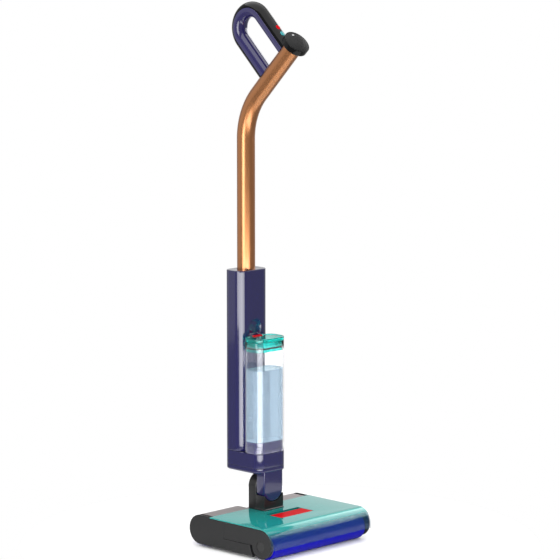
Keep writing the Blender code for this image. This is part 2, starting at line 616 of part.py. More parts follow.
def make_tank(model):
    """The clear tank with its inner base, spigot, lid, seal and latch."""
    outer = body_section(BODY_FRONT, TANK_REAR)
    shell = prism("tank_shell", [outer, body_section(BODY_FRONT, TANK_REAR, TANK_WALL)], "Z",
                  RING_TOP, LID_BOTTOM - GAP)
    model.part(shell, "tank", "clear")
    model.cut(shell, disc("shell_hole", (0, SPIGOT_Z), 6, "Y", 66, 78, 24))
    base = prism("tank_base", [body_section(BODY_FRONT, TANK_REAR, TANK_WALL + GAP)], "Z",
                 RING_TOP, TANK_BASE_TOP)
    model.part(base, "tank", "purple")
    hollow = body_section(BODY_FRONT, TANK_REAR, TANK_WALL + 3)
    model.cut(base, prism("base_hollow", [hollow], "Z", RING_TOP - 2, TANK_BASE_TOP - 4))
    model.cut(base, disc("base_hole", (0, SPIGOT_Z), 5.4, "Y", 60, 78, 24))
    model.part(ring("tank_spigot", (0, SPIGOT_Z), 5.1, 3, "Y", 62, 82, 24), "tank", "grey")

    lid = model.part(prism("tank_lid", [outer], "Z", LID_BOTTOM, LID_TOP), "lid", "teal")
    plug = body_section(BODY_FRONT, TANK_REAR, TANK_WALL + 0.4)
    model.join(lid, prism("lid_plug", [plug], "Z", LID_PLUG, LID_BOTTOM + 1))
    inner = body_section(BODY_FRONT, TANK_REAR, TANK_WALL + 2.6)
    model.cut(lid, prism("lid_hollow", [inner], "Z", LID_PLUG - 3, LID_TOP - 3))
    model.join(lid, box("latch_block", (-16, 16), (58, 69.5), (426, LID_TOP - 1)))
    model.cut(lid, box("latch_seat", (-13.3, 13.3), (62, 80), (431, 445)))
    groove = [body_section(BODY_FRONT, TANK_REAR, 1), body_section(BODY_FRONT, TANK_REAR, TANK_WALL + 1.7)]
    model.cut(lid, prism("seal_groove", groove, "Z", 413.7, 417.3))
    seal = [body_section(BODY_FRONT, TANK_REAR, TANK_WALL + 0.3)]
    seal += [body_section(BODY_FRONT, TANK_REAR, TANK_WALL + 1.4)]
    model.part(prism("tank_lid_seal", seal, "Z", 414, 417), "lid", "rubber")
    model.part(box("tank_latch", (-13, 13), (62.4, 72.9), (434.4, 438)), "latch", "red")


# Pole, handle and display

def pole_line():
    """Points (Y, Z) of the pole's centreline."""
    tangent = POLE_BEND_RADIUS * math.tan(POLE_LEAN / 2)
    centre = (POLE_Y - POLE_BEND_RADIUS, POLE_CORNER_Z - tangent)
    end = POLE_CORNER + LEAN_UP * POLE_END
    bend = arc(centre, POLE_BEND_RADIUS, 0, math.degrees(POLE_LEAN), 10)
    return [(POLE_Y, POLE_FOOT)] + bend + [(end.y, end.z)]


def make_pole(model):
    """The bent tube, swept open and then given its wall."""
    data = bpy.data.curves.new("pole", "CURVE")
    data.dimensions = "3D"
    data.bevel_depth = POLE_RADIUS * MM
    data.bevel_resolution = 7
    spline = data.splines.new("POLY")
    line = pole_line()
    spline.points.add(len(line) - 1)
    for point, (y, z) in zip(spline.points, line):
        point.co = (0, y * MM, z * MM, 1)
    curve = bpy.data.objects.new("pole_line", data)
    bpy.context.scene.collection.objects.link(curve)
    evaluated = curve.evaluated_get(bpy.context.evaluated_depsgraph_get())
    mesh = bpy.data.meshes.new_from_object(evaluated)
    bpy.data.objects.remove(curve)
    weld(mesh)
    pole = model.part(bpy.data.objects.new("pole", mesh), "body", "copper")
    wall = pole.modifiers.new("wall", "SOLIDIFY")
    wall.thickness = POLE_WALL * MM
    wall.offset = -1


def handle_section(start, end, steps):
    """A slice of the handle's wall, as (outward, sideways), between two angles from outward."""
    outer = arc((0, 0), LOOP_TUBE, start, end, steps)
    return outer + arc((0, 0), LOOP_TUBE - LOOP_WALL, end, start, steps)


def loop_sweep(name, section):
    """Carry a section up the lower arm, round the bend and back down the upper arm."""
    shape = bmesh.new()
    foot = POLE_CORNER + LEAN_UP * LOOP_LOWER + LEAN_BACK * (POLE_RADIUS - 4)
    corners = [foot - LEAN_UP * out + Vector((side, 0, 0)) for out, side in section]
    face = shape.faces.new([shape.verts.new(corner * MM) for corner in corners])
    reach = LEAN_BACK * (LOOP_REACH - POLE_RADIUS + 4) * MM
    front = [face]

    def extrude(offset, faces):
        made = bmesh.ops.extrude_face_region(shape, geom=faces)["geom"]
        verts = [item for item in made if isinstance(item, bmesh.types.BMVert)]
        bmesh.ops.translate(shape, vec=offset, verts=verts)
        return [item for item in made if isinstance(item, bmesh.types.BMFace)]

    front = extrude(reach, front)
    turn = bmesh.ops.spin(shape, geom=front, cent=LOOP_CENTRE * MM, axis=(1, 0, 0), angle=math.pi, steps=14)
    front = [item for item in turn["geom_last"] if isinstance(item, bmesh.types.BMFace)]
    extrude(-reach, front)
    inside = [item for item in shape.faces if all(len(edge.link_faces) > 2 for edge in item.edges)]
    bmesh.ops.delete(shape, geom=inside, context="FACES_ONLY")
    mesh = bpy.data.meshes.new(name)
    shape.to_mesh(mesh)
    shape.free()
    weld(mesh)
    return bpy.data.objects.new(name, mesh)


def make_handle(model):
    """The loop's open grip shell, its black cover strip and the two buttons in it."""
    gap = math.degrees(GAP / LOOP_TUBE)
    grip = loop_sweep("loop_grip", handle_section(LOOP_COVER_DEG + gap, 360 - LOOP_COVER_DEG - gap, 14))
    model.part(grip, "body", "violet")
    strip = loop_sweep("loop_cover", handle_section(-LOOP_COVER_DEG, LOOP_COVER_DEG, 10))
    model.part(strip, "body", "black")
    for piece in (grip, strip):
        saddle = leaning_prism("saddle", [circle((0, 0), POLE_RADIUS + GAP, 48)], -60, 260)
        model.cut(piece, saddle)
    for name, back, finish in (("power_button", POWER_BUTTON, "red"), ("mode_button", MODE_BUTTON, "teal")):
        model.cut(strip, leaning_prism("hole", [oval((0, 0), 5.3, 6.4)], 185, 205, back))
        button = leaning_prism(name, [oval((0, 0), 5.0, 6.1)], 191, LOOP_UPPER + LOOP_TUBE + 0.6, back)
        model.part(button, name, finish)


def make_display(model):
    """The round display on the pole's end: a drum with a plug, a board and a domed lens."""
    top = DISPLAY_TOP
    drum = [(DISPLAY_RADIUS - 0.8, top), (DISPLAY_RADIUS, top - 0.8), (DISPLAY_RADIUS, POLE_END + 2.2)]
    drum += [(DISPLAY_RADIUS - 2, POLE_END + 0.3), (17.2, POLE_END + 0.3), (17.2, 186), (15, 186)]
    drum += [(15, 203), (26, 203), (26, 210.7), (27.6, 210.7), (27.6, top)]
    model.part(turned("display_housing", drum, on_lean(0, 0), 40), "body", "black")
    model.part(turned("display_board", [(0, 207), (25, 207), (25, 205.4), (0, 205.4)], on_lean(0, 0)),
               "body", "board")
    dome = [(0, 217), (10, 216.8), (19, 216.1), (25, 215.1), (27.3, 214.4), (27.3, 211), (0, 211)]
    model.part(turned("display_lens", dome, on_lean(0, 0), 40), "body", "charcoal")


def main():
    for obj in list(bpy.data.objects):
        bpy.data.objects.remove(obj, do_unlink=True)
    model = Model()
    model.joint("cover", (0, COVER_REAR, HEAD_TOP), "head")
    model.joint("release", (0, -35, 64), "cover")
    for end, axis, brush in (("front", FRONT_ROLLER, FRONT_BRUSH), ("rear", REAR_ROLLER, REAR_BRUSH)):
        model.joint(f"{end}_cassette", (0, *axis), "head")
        model.joint(f"{end}_roller", (0, *axis), f"{end}_cassette")
        model.joint(f"{end}_hub", (0, *axis), "head")
        model.joint(f"{end}_brush", (0, *brush), "head")
        model.joint(f"{end}_motor", (0, *MOTOR), "head")
    model.joint("yoke", (0, *PITCH_AXIS), "head")
    model.joint("body", (0, YOKE_ARM_FRONT, ROLL_AXIS_Z), "yoke")
    model.joint("tank", (0, TANK_REAR, SPIGOT_Z), "body")
    model.joint("lid", (0, TANK_REAR, LID_BOTTOM), "tank")
    model.joint("latch", (0, TANK_REAR, LID_TOP), "lid")
    for name, back in (("power_button", POWER_BUTTON), ("mode_button", MODE_BUTTON)):
        point = POLE_CORNER + LEAN_UP * (LOOP_UPPER + LOOP_TUBE) + LEAN_BACK * back
        model.joint(name, tuple(point), "body")
    make_frames(model)
    make_chassis(model)
    make_rear_strip(model)
    make_cover(model)
    make_tanks(model)
    make_roller(model, "front", FRONT_ROLLER, -1)
    make_roller(model, "rear", REAR_ROLLER, 1)
    make_drive(model, "front", FRONT_ROLLER, FRONT_BRUSH, 1)
    make_drive(model, "rear", REAR_ROLLER, REAR_BRUSH, -1)
    make_yoke(model)
    make_base(model)
    make_housing(model)
    make_hose(model)
    make_tank(model)
    make_pole(model)
    make_handle(model)
    make_display(model)


main()
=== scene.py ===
"""Looks of the upright wet dry floor scrubber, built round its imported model.

Lengths are in metres. Shapes are given about the head's centre line and moved by HEAD_Y into the model.
"""
from __future__ import annotations

import logging
import math
from dataclasses import dataclass, field
from enum import Enum
from typing import Union

import bmesh
import bpy
import numpy as np
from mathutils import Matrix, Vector


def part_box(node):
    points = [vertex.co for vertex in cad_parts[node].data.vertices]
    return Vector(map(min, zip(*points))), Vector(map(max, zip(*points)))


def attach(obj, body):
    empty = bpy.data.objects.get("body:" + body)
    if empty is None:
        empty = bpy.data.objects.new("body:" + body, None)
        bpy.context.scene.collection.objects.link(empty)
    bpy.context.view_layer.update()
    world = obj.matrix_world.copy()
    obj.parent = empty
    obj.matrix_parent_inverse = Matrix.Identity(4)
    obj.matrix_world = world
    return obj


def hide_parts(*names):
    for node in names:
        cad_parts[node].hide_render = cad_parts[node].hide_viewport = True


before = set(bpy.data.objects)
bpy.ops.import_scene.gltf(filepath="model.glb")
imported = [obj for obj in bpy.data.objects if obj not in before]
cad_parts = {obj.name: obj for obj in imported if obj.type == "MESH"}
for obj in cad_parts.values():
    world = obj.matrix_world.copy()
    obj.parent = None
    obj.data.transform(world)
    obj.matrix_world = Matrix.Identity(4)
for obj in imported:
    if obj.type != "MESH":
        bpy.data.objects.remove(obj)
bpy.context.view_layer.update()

log = logging.getLogger("floor_scrubber")
Array = np.ndarray
Socket = bpy.types.NodeSocket
Feed = Union[float, tuple, Socket]
Colour = tuple[float, float, float]
HEAD_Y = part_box("head_cover")[0][1] + 0.125
SHIFT = np.array([0.0, HEAD_Y, 0.0])
CREASE = math.radians(32)
COAT_ROUGHNESS = 0.04
BUMP_STRENGTH = 0.6
CAP_RING = 0.0002
FULL_TURN = 2 * np.pi


class Axis(Enum):
    """The way a plate's thickness runs, as the order that turns (a, b, thickness) into (x, y, z)."""

    X = (2, 0, 1)
    Y = (0, 2, 1)
    Z = (0, 1, 2)


# ---------------------------------------------------------------- finishes


@dataclass
class Graph:
    """A shader's node tree, with short ways to add nodes and feed them."""

    tree: bpy.types.NodeTree

    def feed(self, node: bpy.types.Node, inputs: dict[str | int, Feed]) -> bpy.types.Node:
        """Give a node's inputs plain values, or join sockets to them."""
        for key, value in inputs.items():
            if isinstance(value, Socket):
                self.tree.links.new(value, node.inputs[key])
            else:
                node.inputs[key].default_value = value
        return node

    def add(self, kind: str, inputs: dict[str | int, Feed] | None = None, **settings: str) -> bpy.types.Node:
        """Add a shader node.

        Args:
            kind: Its type, without the ShaderNode that all of them start with.
            inputs: What its inputs get.
            settings: Its own options.

        Returns:
            The node.
        """
        node = self.tree.nodes.new(f"ShaderNode{kind}")
        for name, value in settings.items():
            setattr(node, name, value)
        return self.feed(node, inputs or {})

    def noise(self, place: Socket, scale: float, detail: float) -> Socket:
        """Noise at a scale in turns per metre."""
        return self.add("TexNoise", {"Scale": scale, "Detail": detail, "Vector": place}).outputs["Fac"]

    def cells(self, place: Socket, scale: float) -> Socket:
        """The distance from the middle of the nearest cell."""
        return self.add("TexVoronoi", {"Scale": scale, "Vector": place}).outputs["Distance"]

    def mix(self, share: Feed, low: Feed, high: Feed) -> Socket:
        """Blend two colours."""
        return self.add("Mix", {"Factor": share, 6: low, 7: high}, data_type="RGBA").outputs[2]

    def span(self, value: Socket, start: tuple[float, float], end: tuple[float, float],
             shape: str = "LINEAR") -> Socket:
        """Carry a value from one range to another."""
        ranges = {"From Min": start[0], "From Max": start[1], "To Min": end[0], "To Max": end[1]}
        return self.add("MapRange", {"Value": value, **ranges}, interpolation_type=shape).outputs["Result"]

    def close(self, output: str, share: Socket, first: bpy.types.Node, second: bpy.types.Node) -> None:
        """Mix two shaders into the tree's output."""
        mixed = self.add("MixShader", {"Fac": share, 1: first.outputs[0], 2: second.outputs[0]})
        self.feed(self.tree.nodes[output], {"Surface": mixed.outputs["Shader"]})


@dataclass(frozen=True)
class Finish:
    """A surface finish: its colour and gloss, with the grain and unevenness that the real one shows."""

    name: str
    colour: Colour
    roughness: float = 0.4
    metallic: float = 0.0
    coat: float = 0.0
    ior: float = 1.5
    transmission: float = 0.0
    sheen: float = 0.0
    mottle: float = 0.06
    mottle_scale: float = 18.0
    grain: float = 900.0
    grain_depth: float = 2e-5
    rough_swing: float = 0.06
    stretch: tuple[float, float, float] = (1.0, 1.0, 1.0)

    def material(self) -> bpy.types.Material:
        """Build the node material.

        Returns:
            A Principled material whose colour, roughness and bump come from noise on Object coordinates.
        """
        made = bpy.data.materials.new(self.name)
        made.use_nodes = True
        graph = Graph(made.node_tree)
        coords = graph.add("TexCoord").outputs["Object"]
        place = graph.add("Mapping", {"Vector": coords, "Scale": self.stretch}).outputs["Vector"]
        colour = graph.mix(graph.noise(place, self.mottle_scale, 3.0), self.shade(1 - self.mottle),
                           self.shade(1 + self.mottle))
        limits = max(0.0, self.roughness - self.rough_swing), min(1.0, self.roughness + self.rough_swing)
        smear = graph.noise(place, self.mottle_scale * 4, 4.0)
        bump = {"Distance": self.grain_depth, "Strength": BUMP_STRENGTH, "Height": self.relief(graph, place)}
        shader = graph.feed(made.node_tree.nodes["Principled BSDF"], {
            "Metallic": self.metallic, "IOR": self.ior, "Transmission Weight": self.transmission,
            "Coat Weight": self.coat, "Coat Roughness": COAT_ROUGHNESS, "Sheen Weight": self.sheen,
            "Base Color": self.tint(graph, place, colour), "Roughness": graph.span(smear, (0, 1), limits),
            "Normal": graph.add("Bump", bump).outputs["Normal"]})
        self.surface(graph, shader, place)
        return made

    def shade(self, share: float) -> tuple[float, float, float, float]:
        """The colour made lighter or darker by a share."""
        return (*[min(1.0, part * share) for part in self.colour], 1)

    def surface(self, graph: Graph, shader: bpy.types.Node, place: Socket) -> None:
        """Change what reaches the material output; a solid finish leaves it."""

    def relief(self, graph: Graph, place: Socket) -> Socket:
        """The height that the bump reads: an even moulded grain."""
        return graph.noise(place, self.grain, 2.0)

    def tint(self, graph: Graph, place: Socket, colour: Socket) -> Socket:
        """Change the colour along the piece; a plain finish leaves it."""
        return colour


@dataclass(frozen=True)
class ClearFinish(Finish):
    """Clear moulding that lets lamps through, tinted, so that what it holds is lit, and darkens at its edges."""

    shadow: Colour = (1.0, 1.0, 1.0)
    edge: Colour = (0.5, 0.53, 0.56)

    def tint(self, graph: Graph, place: Socket, colour: Socket) -> Socket:
        """Tint what is seen at a grazing angle, where the way through the wall is longest."""
        facing = graph.add("LayerWeight", {"Blend": 0.5}).outputs["Facing"]
        steep = graph.add("Math", {0: facing, 1: 4.0}, operation="POWER").outputs["Value"]
        return graph.mix(steep, colour, (*self.edge, 1))

    def surface(self, graph: Graph, shader: bpy.types.Node, place: Socket) -> None:
        """Mix in a Transparent shader for the rays that look for lamps."""
        open_way = graph.add("BsdfTransparent", {"Color": (*self.shadow, 1)})
        graph.close("Material Output", graph.add("LightPath").outputs["Is Shadow Ray"], shader, open_way)


@dataclass(frozen=True)
class RolledFinish(Finish):
    """Tinted sheet that is nearly solid on the flat and clears towards its rolled front edge."""

    fade: tuple[float, float] = (0.047, 0.0672)
    turn: tuple[float, float] = (0.0650, 0.0682)
    alpha: tuple[float, float] = (0.26, 0.86)
    deep: Colour = (0.002, 0.075, 0.21)

    @staticmethod
    def rise(graph: Graph, place: Socket, heights: tuple[float, float], ends: tuple[float, float]) -> Socket:
        """A smooth step between two heights over the floor."""
        height = graph.add("SeparateXYZ", {"Vector": place}).outputs["Z"]
        return graph.span(height, heights, ends, "SMOOTHSTEP")

    def tint(self, graph: Graph, place: Socket, colour: Socket) -> Socket:
        """Deepen the colour down the roll, where the dark pile shows through."""
        return graph.mix(self.rise(graph, place, self.fade, (0.0, 1.0)), (*self.deep, 1), colour)

    def surface(self, graph: Graph, shader: bpy.types.Node, place: Socket) -> None:
        """Drive the alpha by height over the floor, and let the flat alone mirror in its own colour."""
        graph.feed(shader, {"Alpha": self.rise(graph, place, self.fade, self.alpha),
                            "Metallic": self.rise(graph, place, self.turn, (0.0, self.metallic))})


@dataclass(frozen=True)
class PileFinish(Finish):
    """Cut microfibre, with painted shade between the tufts, painted light on their tips and a soft sheen."""

    def relief(self, graph: Graph, place: Socket) -> Socket:
        """Cells the size of one tuft."""
        return graph.cells(place, self.grain)

    def tint(self, graph: Graph, place: Socket, colour: Socket) -> Socket:
        """Paint shade into the gaps between tufts and paint light onto their tips."""
        # Painted shade and painted light: the colour is scaled by the distance from each tuft's middle.
        shade = graph.span(graph.cells(place, self.grain), (0, 0.75), (1.15, 0.55))
        return graph.add("VectorMath", {0: colour, "Scale": shade}, operation="SCALE").outputs["Vector"]


@dataclass(frozen=True)
class BoardFinish(Finish):
    """A circuit board: solder mask with lighter tracks in a square maze."""

    tracks: Colour = (0.16, 0.42, 0.2)

    def tint(self, graph: Graph, place: Socket, colour: Socket) -> Socket:
        """Lay pale tracks where brick joints run."""
        maze = {"Scale": 160.0, "Mortar": (*self.tracks, 1), "Vector": place, "Color1": colour, "Color2": colour}
        return graph.add("TexBrick", maze).outputs["Color"]


class Palette:
    """The finishes of the machine, each made into a material once."""

    charcoal = Finish("satin_charcoal_moulding", (0.012, 0.012, 0.0125), 0.42, ior=1.30, grain=1400, mottle=0.10)
    black = Finish("satin_black_moulding", (0.005, 0.005, 0.0055), 0.30, grain=1500, mottle=0.12)
    gloss_black = Finish("gloss_black_strip", (0.003, 0.003, 0.0035), 0.12, ior=1.25, coat=0.15,
                         grain_depth=2e-6)
    window = Finish("dark_display_window", (0.013, 0.013, 0.0135), 0.36, ior=1.22, grain=2600,
                    grain_depth=2e-6)
    cover = RolledFinish("see_through_teal_cover", (0.004, 0.47, 0.43), 0.07, metallic=0.2, coat=0.55,
                         grain_depth=2e-6, mottle=0.04, rough_swing=0.02)
    lid = ClearFinish("see_through_teal_lid", (0.02, 0.66, 0.60), 0.04, ior=1.45, transmission=0.94,
                      grain_depth=2e-6, mottle=0.04, rough_swing=0.02, shadow=(0.25, 0.8, 0.75),
                      edge=(0.0, 0.16, 0.14))
    tank = ClearFinish("clear_tank_wall", (0.97, 0.98, 0.985), 0.02, ior=1.45, transmission=1.0,
                       grain_depth=1e-6, mottle=0.01, rough_swing=0.01, shadow=(0.93, 0.94, 0.95))
    water = ClearFinish("still_water", (0.33, 0.42, 0.50), 0.06, ior=1.15, transmission=0.66,
                        grain=60, grain_depth=4e-5, mottle=0.04, mottle_scale=30, rough_swing=0.02,
                        shadow=(0.7, 0.8, 0.85), edge=(0.4, 0.5, 0.6))
    teal = Finish("gloss_teal_button", (0.004, 0.33, 0.36), 0.2, coat=0.3)
    grey = Finish("satin_warm_grey", (0.24, 0.205, 0.205), 0.32, grain=1300, mottle=0.05)
    tray = Finish("pale_teal_tray", (0.10, 0.52, 0.50), 0.45, grain=900, mottle=0.06)
    red = Finish("satin_red_moulding", (0.62, 0.003, 0.009), 0.34, ior=1.06, grain=1500, grain_depth=1e-5)
    pile = PileFinish("cut_blue_microfibre", (0.003, 0.0015, 0.34), 0.95, ior=1.2, sheen=0.04, grain=520,
                      grain_depth=0.0009, mottle=0.25, mottle_scale=140)
    purple = Finish("gloss_dark_purple", (0.0085, 0.0075, 0.052), 0.10, coat=0.5, grain_depth=2e-6,
                    mottle=0.04, rough_swing=0.03)
    violet = Finish("gloss_violet_grip", (0.016, 0.012, 0.088), 0.14, coat=0.5, grain_depth=3e-6,
                    mottle=0.05, rough_swing=0.03)
    copper = Finish("bead_blasted_copper_anodise", (0.50, 0.210, 0.085), 0.30, metallic=1.0, coat=0.3,
                    grain=2400, grain_depth=5e-7, mottle=0.05, rough_swing=0.02)
    steel = Finish("turned_steel", (0.46, 0.47, 0.49), 0.30, metallic=1.0, grain=1800, stretch=(6, 1, 1))
    rubber = Finish("matt_black_rubber", (0.008, 0.008, 0.008), 0.65, grain=1100, grain_depth=6e-5)
    board = BoardFinish("green_circuit_board", (0.010, 0.075, 0.030), 0.4)
    cells = Finish("shrink_wrapped_cells", (0.03, 0.07, 0.26), 0.25, coat=0.3, grain=240, grain_depth=0.0002)
    lamp = Finish("pale_status_lamp", (0.62, 0.63, 0.64), 0.3)
    floor = Finish("pale_studio_floor", (0.86, 0.86, 0.86), 0.9, ior=1.2, grain=120, grain_depth=1e-5,
                   mottle=0.01, mottle_scale=2.0)

    def __init__(self) -> None:
        """Start with no material made."""
        self.made: dict[str, bpy.types.Material] = {}

    def of(self, finish: Finish) -> bpy.types.Material:
        """Make a finish's material the first time that it is asked for."""
        if finish.name not in self.made:
            self.made[finish.name] = finish.material()
        return self.made[finish.name]


PALETTE = Palette()

# ---------------------------------------------------------------- outlines


def arc(centre: tuple[float, float], radius: float, start: float, end: float, steps: int) -> Array:
    """Points at even angles on a circle: centre plus radius times (cos, sin).

    Args:
        centre: The circle's middle.
        radius: Its radius.
        start: The first angle in degrees.
        end: The last angle in degrees.
        steps: How many spans lie between them.

    Returns:
        An array of steps + 1 points.
    """
    turn = np.radians(np.linspace(start, end, steps + 1))
    return np.stack([centre[0] + radius * np.cos(turn), centre[1] + radius * np.sin(turn)], axis=1)


def section(box: tuple[float, float, float, float], radius: float, inset: float = 0.0,
            corner: int = 12, flat: int = 34) -> Array:
    """A rectangle with round corners: four quarter arcs joined by evenly split flats.

    Args:
        box: Lowest and highest x, then lowest and highest y.
        radius: The corner radius before the inset.
        inset: How far the outline is pulled in.
        corner: Spans in each corner.
        flat: Spans in each flat.

    Returns:
        The closed outline, with the same count of points whatever the inset.
    """
    x0, x1, y0, y1 = box
    bend = max(radius - inset, 0.0002)
    centres = [(x1 - radius, y0 + radius), (x1 - radius, y1 - radius), (x0 + radius, y1 - radius),
               (x0 + radius, y0 + radius)]
    arcs = [arc(centre, bend, -90 + 90 * i, 90 * i, corner) for i, centre in enumerate(centres)]
    share = np.linspace(0, 1, flat + 1)[1:-1, None]
    parts: list[Array] = []
    for i, piece in enumerate(arcs):
        after = arcs[(i + 1) % 4][0]
        parts += [piece, piece[-1] * (1 - share) + after * share]
    return np.concatenate(parts)


def fillet(corners: list[tuple[float, float, float]], steps: int = 5) -> Array:
    """Round the corners of an open path: each (a, b, radius) becomes an arc tangent to both its legs.

    Args:
        corners: The path's points with the radius wanted at each.
        steps: Spans in each arc.

    Returns:
        The rounded path.
    """
    points = np.array([c[:2] for c in corners])
    path = [points[:1]]
    for i in range(1, len(points) - 1):
        back = points[i - 1] - points[i]
        ahead = points[i + 1] - points[i]
        back_length, ahead_length = np.linalg.norm(back), np.linalg.norm(ahead)
        back, ahead = back / back_length, ahead / ahead_length
        half = np.arccos(np.clip(back @ ahead, -1, 1)) / 2
        reach = min(corners[i][2] / max(np.tan(half), 1e-6), back_length * 0.49, ahead_length * 0.49)
        share = np.linspace(0, 1, steps + 1)[:, None]
        first, last = points[i] + back * reach, points[i] + ahead * reach
        path.append((1 - share) ** 2 * first + 2 * share * (1 - share) * points[i] + share**2 * last)
    path.append(points[-1:])
    return np.concatenate(path)


def inward(outline: Array, distance: float) -> Array:
    """Pull a closed anticlockwise outline in: each point moves along the mitre of its two edges."""
    before = outline - np.roll(outline, 1, axis=0)
    after = np.roll(outline, -1, axis=0) - outline
    n0 = np.stack([-before[:, 1], before[:, 0]], 1) / np.linalg.norm(before, axis=1, keepdims=True)
    n1 = np.stack([-after[:, 1], after[:, 0]], 1) / np.linalg.norm(after, axis=1, keepdims=True)
    scale = 1 + np.sum(n0 * n1, axis=1, keepdims=True)
    return outline + distance * (n0 + n1) / np.maximum(scale, 0.35)


def level(outline: Array, z: float) -> Array:
    """Lift a flat outline to a height."""
    return np.column_stack([outline, np.full(len(outline), z)])


def area(outline: Array) -> float:
    """The signed area by the shoelace sum, positive when the outline runs anticlockwise."""
    x, y = outline.T
    return 0.5 * float(np.sum(x * np.roll(y, -1) - y * np.roll(x, -1)))


def squircle(half_a: float, half_b: float, power: float, steps: int) -> tuple[Array, Array]:
    """A squared-off oval: cos and sin, each to a power that keeps its sign, stretched to half sizes."""
    angle = np.linspace(0, FULL_TURN, steps, endpoint=False)
    cos, sin = np.cos(angle), np.sin(angle)
    return half_a * np.sign(cos) * np.abs(cos) ** power, half_b * np.sign(sin) * np.abs(sin) ** power


# ---------------------------------------------------------------- surfaces


@dataclass
class Surface:
    """Vertices and faces that are gathered before one object is made of them."""

    points: list[Array] = field(default_factory=list)
    faces: list[list[int]] = field(default_factory=list)
    count: int = 0

    def add(self, points: Array, faces: list[list[int]]) -> Surface:
        """Append one closed body, turned so that its volume is positive."""
        flat = points.reshape(-1, 3)
        volume = 0.0
        for size in {len(face) for face in faces}:
            rings = flat[np.array([face for face in faces if len(face) == size])]
            arms = rings[:, 1:] - rings[:, :1]
            volume += float(np.sum(np.cross(arms[:, :-1], arms[:, 1:]) * rings[:, :1]))
        if volume < 0:
            faces = [face[::-1] for face in faces]
        self.faces += [[index + self.count for index in face] for face in faces]
        self.points.append(flat)
        self.count += len(flat)
        return self

    def grid(self, rings: Array, closed: bool = False) -> Surface:
        """Skin a grid of rings, closing it by a cap at each end or by joining the last ring to the first.

        Args:
            rings: Points by ring, by place round the ring, by x, y, z.
            closed: True where the last ring meets the first.

        Returns:
            This surface.
        """
        count, size = rings.shape[:2]
        index = np.arange(count * size).reshape(count, size)
        rows = np.vstack([index, index[:1]]) if closed else index
        low, high = rows[:-1], rows[1:]
        quads = np.stack([low, np.roll(low, -1, 1), np.roll(high, -1, 1), high], axis=-1).reshape(-1, 4)
        caps = [] if closed else [index[0][::-1].tolist(), index[-1].tolist()]
        return self.add(rings, quads.tolist() + caps)

    def plate(self, outline: Array, axis: Axis, low: float, high: float, edge: float = 0.0006) -> Surface:
        """A flat plate with quarter-round rims: the outline steps in by edge times 1 - sin as it rises.

        Args:
            outline: The closed outline across the axis.
            axis: The way of the thickness.
            low: Where the plate starts.
            high: Where it ends.
            edge: The radius of its rims.

        Returns:
            This surface.
        """
        outline = outline[np.linalg.norm(outline - np.roll(outline, 1, axis=0), axis=1) > 1e-6]
        if area(outline) < 0:
            outline = outline[::-1]
        turn = np.linspace(0, np.pi / 2, 5)
        insets = edge * (1 - np.sin(turn))
        rise = edge * (1 - np.cos(turn))
        stations = [(edge + CAP_RING, low)] + [(inset, low + step) for inset, step in zip(insets, rise)]
        stations += [(inset, high - step) for inset, step in zip(insets[::-1], rise[::-1])]
        stations.append((edge + CAP_RING, high))
        rings = np.array([level(inward(outline, inset), z) for inset, z in stations])
        return self.grid(rings[..., list(axis.value)])

    def turned(self, profile: Array, axis: Axis, centre: tuple[float, float], steps: int = 64) -> Surface:
        """Turn a profile of (radius, station) about an axis: centre plus radius times (cos, sin)."""
        angle = np.linspace(0, FULL_TURN, steps, endpoint=False)
        radius = np.maximum(profile[:, 0], 1e-6)[:, None]
        rings = np.stack([centre[0] + radius * np.cos(angle), centre[1] + radius * np.sin(angle),
                          np.broadcast_to(profile[:, 1][:, None], (len(profile), steps))], axis=-1)
        return self.grid(rings[..., list(axis.value)])

    def mesh(self, name: str) -> bpy.types.Mesh:
        """The gathered faces as a mesh, moved into the model."""
        made = bpy.data.meshes.new(name)
        made.from_pydata((np.concatenate(self.points) + SHIFT).tolist(), [], self.faces)
        return made

    def piece(self, name: str, finish: Finish, body: str, slot: str, nodes: tuple[str, ...] = (),
              sharp: float = CREASE) -> bpy.types.Object:
        """Make the object, dress it and hang it on its body.

        Args:
            name: The piece's name.
            finish: What it is finished in.
            body: The moving body that it rides on.
            slot: The record's material slot; not used.
            nodes: The model's nodes that it stands for.
            sharp: Edges steeper than this angle stay crisp.

        Returns:
            The new object.
        """
        mesh = self.mesh(name)
        mesh.shade_smooth()
        mesh.set_sharp_from_angle(angle=sharp)
        return dress(stand(name, mesh), finish, body, slot, nodes)


def stand(name: str, data: bpy.types.ID) -> bpy.types.Object:
    """Put new data in the scene as an object."""
    made = bpy.data.objects.new(name, data)
    bpy.context.scene.collection.objects.link(made)
    return made


def dress(piece: bpy.types.Object, finish: Finish, body: str, slot: str,
          nodes: tuple[str, ...] = ()) -> bpy.types.Object:
    """Give a piece its material and body, and hide the nodes that it replaces.

    Returns:
        The same piece.
    """
    piece.data.materials.clear()
    piece.data.materials.append(PALETTE.of(finish))
    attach(piece, body)
    if nodes:
        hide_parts(*nodes)
    log.info("%s: %d faces in %s", piece.name, len(piece.data.polygons), finish.name)
    return piece


